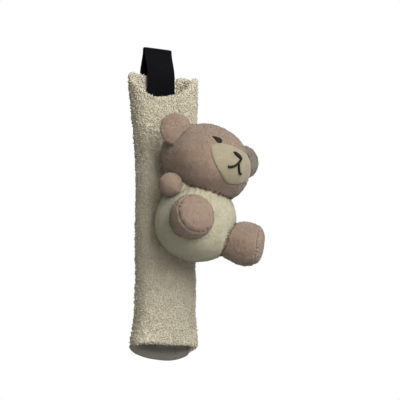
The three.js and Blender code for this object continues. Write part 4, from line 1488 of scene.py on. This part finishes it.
@dataclass
class Bear:
    """The stuffed teddy bear: head, ears, face, body, arms and legs."""

    head: HeadForm
    body: BodyForm
    finishes: Finishes
    nap: GrowthTree
    threads: ThreadTree
    sleeve_face: float = -17
    ear_radius: float = 17
    ear_spread: float = 44.5
    ear_height: float = 16
    ear_seat_turn: float = -11
    ear_turns: tuple[float, float] = (-35, -13)
    sole_radius: float = 19.5
    foot_radius: float = 22
    leg_root_radius: float = 14
    foot_turn: float = 8
    sole_thickness: float = 4.4
    leg_roots: Points = ((-30, -54, 131), (14, -60, 117))
    sole_centres: Points = ((-42, -87, 139.5), (43, -89, 111))
    wrist_at: float = 15
    wrist_radius: float = 11
    shoulder_radius: float = 9.5
    shoulder: tuple[float, float] = (22, 22)
    paw_reach: float = 33
    paw_radius: float = 12.5
    arm_forward: tuple[float, float] = (2, -14)
    arm_lift: float = 5.5
    stitch_reach: float = 1.9
    head_bag: Bag = Bag(3.2, 6, 1.8, 0.8, (0.8, 22), (1.2, 1.1))
    body_bag: Bag = Bag(3.2, 5, 1.5, 0.75, (0.9, 20), (1.25, 1.0))
    ear_bag: Bag = Bag(1.8, 3, 1.2, 0.5, (0.5, 12), (1.1, 1.1))
    arm_bag: Bag = Bag(1.6, 3, 1.2, 0.6)
    paw_bag: Bag = Bag(1.8, 4, 1.2, 0.7, (0.5, 12), (1.1, 1.0))
    leg_bag: Bag = Bag(2.0, 3, 1.2, 0.7, (0.5, 14), (1.2, 1.1))
    sole_bag: Bag = Bag(1.4, 3, 0.8, 0.6, (0.4, 14), (1.15, 0.9))

    def neck_line(self) -> np.ndarray:
        """The join of head and body, as points in order round the neck."""
        matrix, found = self.head.matrix(), []
        for turn in np.linspace(-np.pi, np.pi, 181)[:-1]:
            low, high = math.radians(-88), math.radians(50)
            for _ in range(24):
                pitch = (low + high) / 2
                way = np.array([math.sin(turn) * math.cos(pitch), -math.cos(turn) * math.cos(pitch),
                                math.sin(pitch)])
                point = moved_by(matrix, way * self.head.radius(way[None])[0])
                low, high = (pitch, high) if self.body.holds(point) else (low, pitch)
            found.append(point)
        return fine_line(found)

    def head_seam(self, lean: float) -> np.ndarray:
        """The seam over the head where its back panel meets the face panel."""
        angles = np.linspace(0, 2 * np.pi, 120, endpoint=False)
        ways = units(np.stack([np.cos(angles), np.full(120, lean), np.sin(angles)], 1))
        return fine_line(moved_by(self.head.matrix(), ways * self.head.radius(ways)[:, None]))

    def ear_line(self, index: int, side: int) -> np.ndarray:
        """The seam just inside an ear's rim, on its front."""
        turn, seat = math.radians(self.ear_turns[index]), math.radians(self.ear_seat_turn)
        matrix = self.head.matrix() @ Matrix.Rotation(seat, 4, "Z")
        matrix = matrix @ Matrix.Translation((side * self.ear_spread, 0, self.ear_height))
        matrix = matrix @ Matrix.Rotation(turn - seat, 4, "Z")
        angles = np.linspace(0, 2 * np.pi, 90, endpoint=False)
        radius = self.ear_radius - 3.2
        ring = np.stack([radius * np.cos(angles), np.full(90, -3.4), radius * np.sin(angles)], 1)
        return fine_line(moved_by(matrix, ring))

    def arm(self, index: int, side: int) -> Limb:
        """One arm's own shape."""
        out, up = self.shoulder
        matrix, reach = self.body.matrix(), out + self.paw_reach
        start = moved_by(matrix, np.array([side * out, 0, up], float))
        tip = moved_by(matrix, np.array([side * reach, -self.arm_forward[index], up + self.arm_lift]))
        return Limb(start, tip, [(self.shoulder_radius, 0), (self.wrist_radius, self.wrist_at),
                                 (self.paw_radius, 21), (self.paw_radius, 33)])

    def leg(self, root: Sequence[float], sole: Sequence[float]) -> Limb:
        """One leg's own shape."""
        start, end = np.array(root, float), np.array(sole, float)
        length = float(np.linalg.norm(end - start)) - self.sole_thickness
        bend = length - self.foot_turn
        return Limb(start, end, [(self.leg_root_radius, 0),
                                 ((self.leg_root_radius + self.foot_radius) / 2, 0.4 * bend),
                                 (0.97 * self.foot_radius, 0.75 * bend), (self.foot_radius, bend),
                                 (0.95 * self.foot_radius, length - 0.4 * self.foot_turn),
                                 (self.sole_radius + 0.3, length), (self.sole_radius, length + 0.3)])

    def stuffed(self, name: str, node: str, bag: Bag, *sewn: np.ndarray) -> Piece:
        """Copies a node as a skin, fills it and rounds it.

        Args:
            name: the new piece's name.
            node: the frame's node.
            bag: how it is made.
            sewn: the seams that hold it while it is filled.
        Returns:
            The piece.
        """
        skin = skin_of(name, node, bag.voxel, bag.passes)
        points = points_of(skin)
        held = smooth_rise((points[:, 1] - self.sleeve_face + 9) / 7)
        for line in sewn:
            held = np.maximum(held, 1 - smooth_rise((nearest(line, points)[0] - 1) / 4))
        Stuffing(bag.cap).fill(skin, held)
        step = skin.modifiers.new("rounding", "SUBSURF")
        step.levels = step.render_levels = 1
        return settle(skin)

    def domed(self, piece: Piece, limb: Limb, height: float) -> None:
        """Swells a sole along its leg, most in its middle."""
        along, _, _, length = limb.axes()
        points = points_of(piece)
        own = points - limb.start
        off = lengths(own - (own @ along)[:, None] * along)
        outer = smooth_rise((own @ along - length + 4.2) / 2.5)
        rise = height * np.sqrt(np.clip(1 - (off / (self.sole_radius + 1)) ** 2, 0, 1)) * outer
        set_points(piece, points + rise[:, None] * along)

    def knead(self, piece: Piece, bag: Bag) -> None:
        """Gives a stuffed piece the soft hollows of hand stuffing."""
        (amount, size), points = bag.hollows, points_of(piece)
        held = 1 - smooth_rise((points[:, 1] - self.sleeve_face + 6) / 5)
        push_out(piece, amount * (ripple(points, size, 3.0) + 0.5 * ripple(points, size / 2.2, 8.0)) * held)

    def nap_on(self, piece: Piece, bag: Bag, finish: Material, slot: str, bare: Ground | None = None) -> None:
        """Grows a short nap on a piece.

        Args:
            piece: the cloth.
            bag: holds the distance between fibres, and their length.
            finish: the nap's material.
            slot: the record's slot.
            bare: what the nap keeps clear of.
        """
        (spacing, length), points = bag.nap, points_of(piece)
        free = smooth_rise((bare.far(points) - 0.3) / 1.2) if bare else 1.0
        keep_pile(piece, free * (1 - smooth_rise((points[:, 1] - self.sleeve_face + 4) / 3)))
        made = self.nap.grow(f"{piece.name}_nap", piece, finish, spacing=spacing, length=length, radius=0.36,
                             lean=0.3, curl=0.5, tip=0.5, flow=1.1, root_depth=0.2, root_shade=0.0, tint=0.12,
                             seed=3)
        wear(made, finish, slot)

    def sew_on(self, name: str, line: np.ndarray, ground: Ground, way: np.ndarray, pitch: float,
               radius: float) -> None:
        """Sews hand stitches over a join, uneven as hand sewing is.

        Args:
            name: the new piece's name.
            line: the join, with points half a millimetre apart.
            ground: the sewn surfaces.
            way: the direction over the join.
            pitch: the distance between stitches.
            radius: the thread's radius.
        """
        rng = np.random.default_rng(11)
        lines = []
        for i in range(0, len(line), int(pitch / 0.5)):
            point = line[i]
            if point[1] > self.sleeve_face - 3:
                continue
            tangent = line[(i + 2) % len(line)] - line[i - 2]
            tangent /= max(float(np.linalg.norm(tangent)), 1e-6)
            a, b = rng.uniform(0.6, 1.15, 2) * self.stitch_reach
            slant = rng.uniform(-0.5, 0.5)
            lines.append(np.array([
                ground.seat(point + way * share * (a if share < 0 else b) + tangent * slant * share,
                            0.45 + 0.4 * (1 - share * share) - 0.6 * (abs(share) == 1))
                for share in (-1.0, -0.5, 0.0, 0.5, 1.0)]))
        self.threads.sew(name, lines, radius, self.finishes.join_thread, "embroidery")

    def build(self) -> list[Piece]:
        """Makes every part of the bear.

        Returns:
            The pieces that lie on the sleeve.
        """
        plush, suit, soles = self.finishes.plush, self.finishes.suit, self.finishes.sole_plush
        neck = self.neck_line()
        legs = [self.leg(*ends) for ends in zip(self.leg_roots, self.sole_centres)]
        arms = [self.arm(index, side) for index, (_, side) in enumerate(SIDES)]
        joins = [limb.join(self.body) for limb in (*legs, *arms)]
        head = self.stuffed("plush_head", "bear_head", self.head_bag, neck)
        body = self.stuffed("suit_body", "bear_body", self.body_bag, neck)
        self.knead(head, self.head_bag)
        self.knead(body, self.body_bag)
        Seam(-0.5, 3.2, 0.3, 4.5).press(head, neck)
        Seam(-2.8, 5.0, 0.5, 6.0).press(body, neck)
        Seam(0.8, 1.3, 0.35, 6.5).press(head, self.head_seam(0.42))
        for line in joins:
            Seam(0.9, 1.8, 0.3, 4.0).press(body, line)
        for piece, bag, finish, slot, node in ((head, self.head_bag, plush, "plush", "bear_head"),
                                               (body, self.body_bag, suit, "suit_fleece", "bear_body")):
            wear(piece, finish, slot, node)
        face = Face(self.head, self.finishes, self.threads).build(head)
        self.nap_on(head, self.head_bag, plush, "plush", Ground(*face))
        self.nap_on(body, self.body_bag, suit, "suit_fleece")
        laid = [head, body]
        for index, (name, side) in enumerate(SIDES):
            limb = legs[index]
            along, _, _, length = limb.axes()
            sole_line = limb.ring(length - self.sole_thickness)
            # The far ear, on the left, wears the darker copy of the plush as painted shade
            brushed = self.finishes.plush_painted_shade if name == "left" else plush
            made = {}
            for sort, cloth, bag, finish, slot, seam, line in (
                    ("ear", "plush", self.ear_bag, brushed, "plush", Seam(0.35, 1.2, 0.12, 6.0),
                     self.ear_line(index, side)),
                    ("arm", "suit", self.arm_bag, suit, "suit_fleece", Seam(-2.0, 5.5, 0.3, 5.0),
                     arms[index].ring(9)),
                    ("paw", "plush", self.paw_bag, plush, "plush", None, None),
                    ("leg", "plush", self.leg_bag, plush, "plush", Seam(-1.1, 2.2, 0.1, 5.6), sole_line),
                    ("sole", "plush", self.sole_bag, soles, "sole_plush", Seam(-1.0, 2.2, 0.1, 5.6),
                     sole_line)):
                held = (sole_line,) if sort in ("leg", "sole") else ()
                piece = made[sort] = self.stuffed(f"{cloth}_{sort}_{name}", f"{sort}_{name}", bag, *held)
                if seam:
                    seam.press(piece, line)
                if sort == "sole":
                    self.domed(piece, limb, 3.4)
                if bag.hollows[0]:
                    self.knead(piece, bag)
                wear(piece, finish, slot, f"{sort}_{name}")
                if cloth == "plush":
                    self.nap_on(piece, bag, finish, slot)
            laid += [made["ear"], made["arm"], made["paw"]]
            self.sew_on(f"leg_stitches_{name}", joins[index], Ground(made["leg"], body), along, 3.2, 0.3)
        up = np.array(self.head.centre) - np.array(self.body.centre)
        up = up / np.linalg.norm(up)
        self.sew_on("neck_stitches", neck + up * 4.6, Ground(head, body), up, 2.8, 0.42)
        return laid


def main() -> None:
    """Builds the stage and the pad, piece by piece."""
    logging.basicConfig(level=logging.INFO, format="%(name)s: %(message)s")
    stage = Stage()
    stage.camera()
    stage.lamps()
    stage.surroundings()
    finishes = Finishes()
    tufts = GrowthTree("sherpa_tufts", 3, 2)
    nap = GrowthTree("short_nap", 3, 1)
    threads = ThreadTree()
    laid = Ground(*Bear(HeadForm(), BodyForm(), finishes, nap, threads).build())
    form = SleeveForm()
    Sleeve(form, finishes, tufts, threads).build(laid.far)
    Closure(form, finishes).build()
    StrapLoop(finishes, threads).build()


if __name__ == "__main__":
    main()
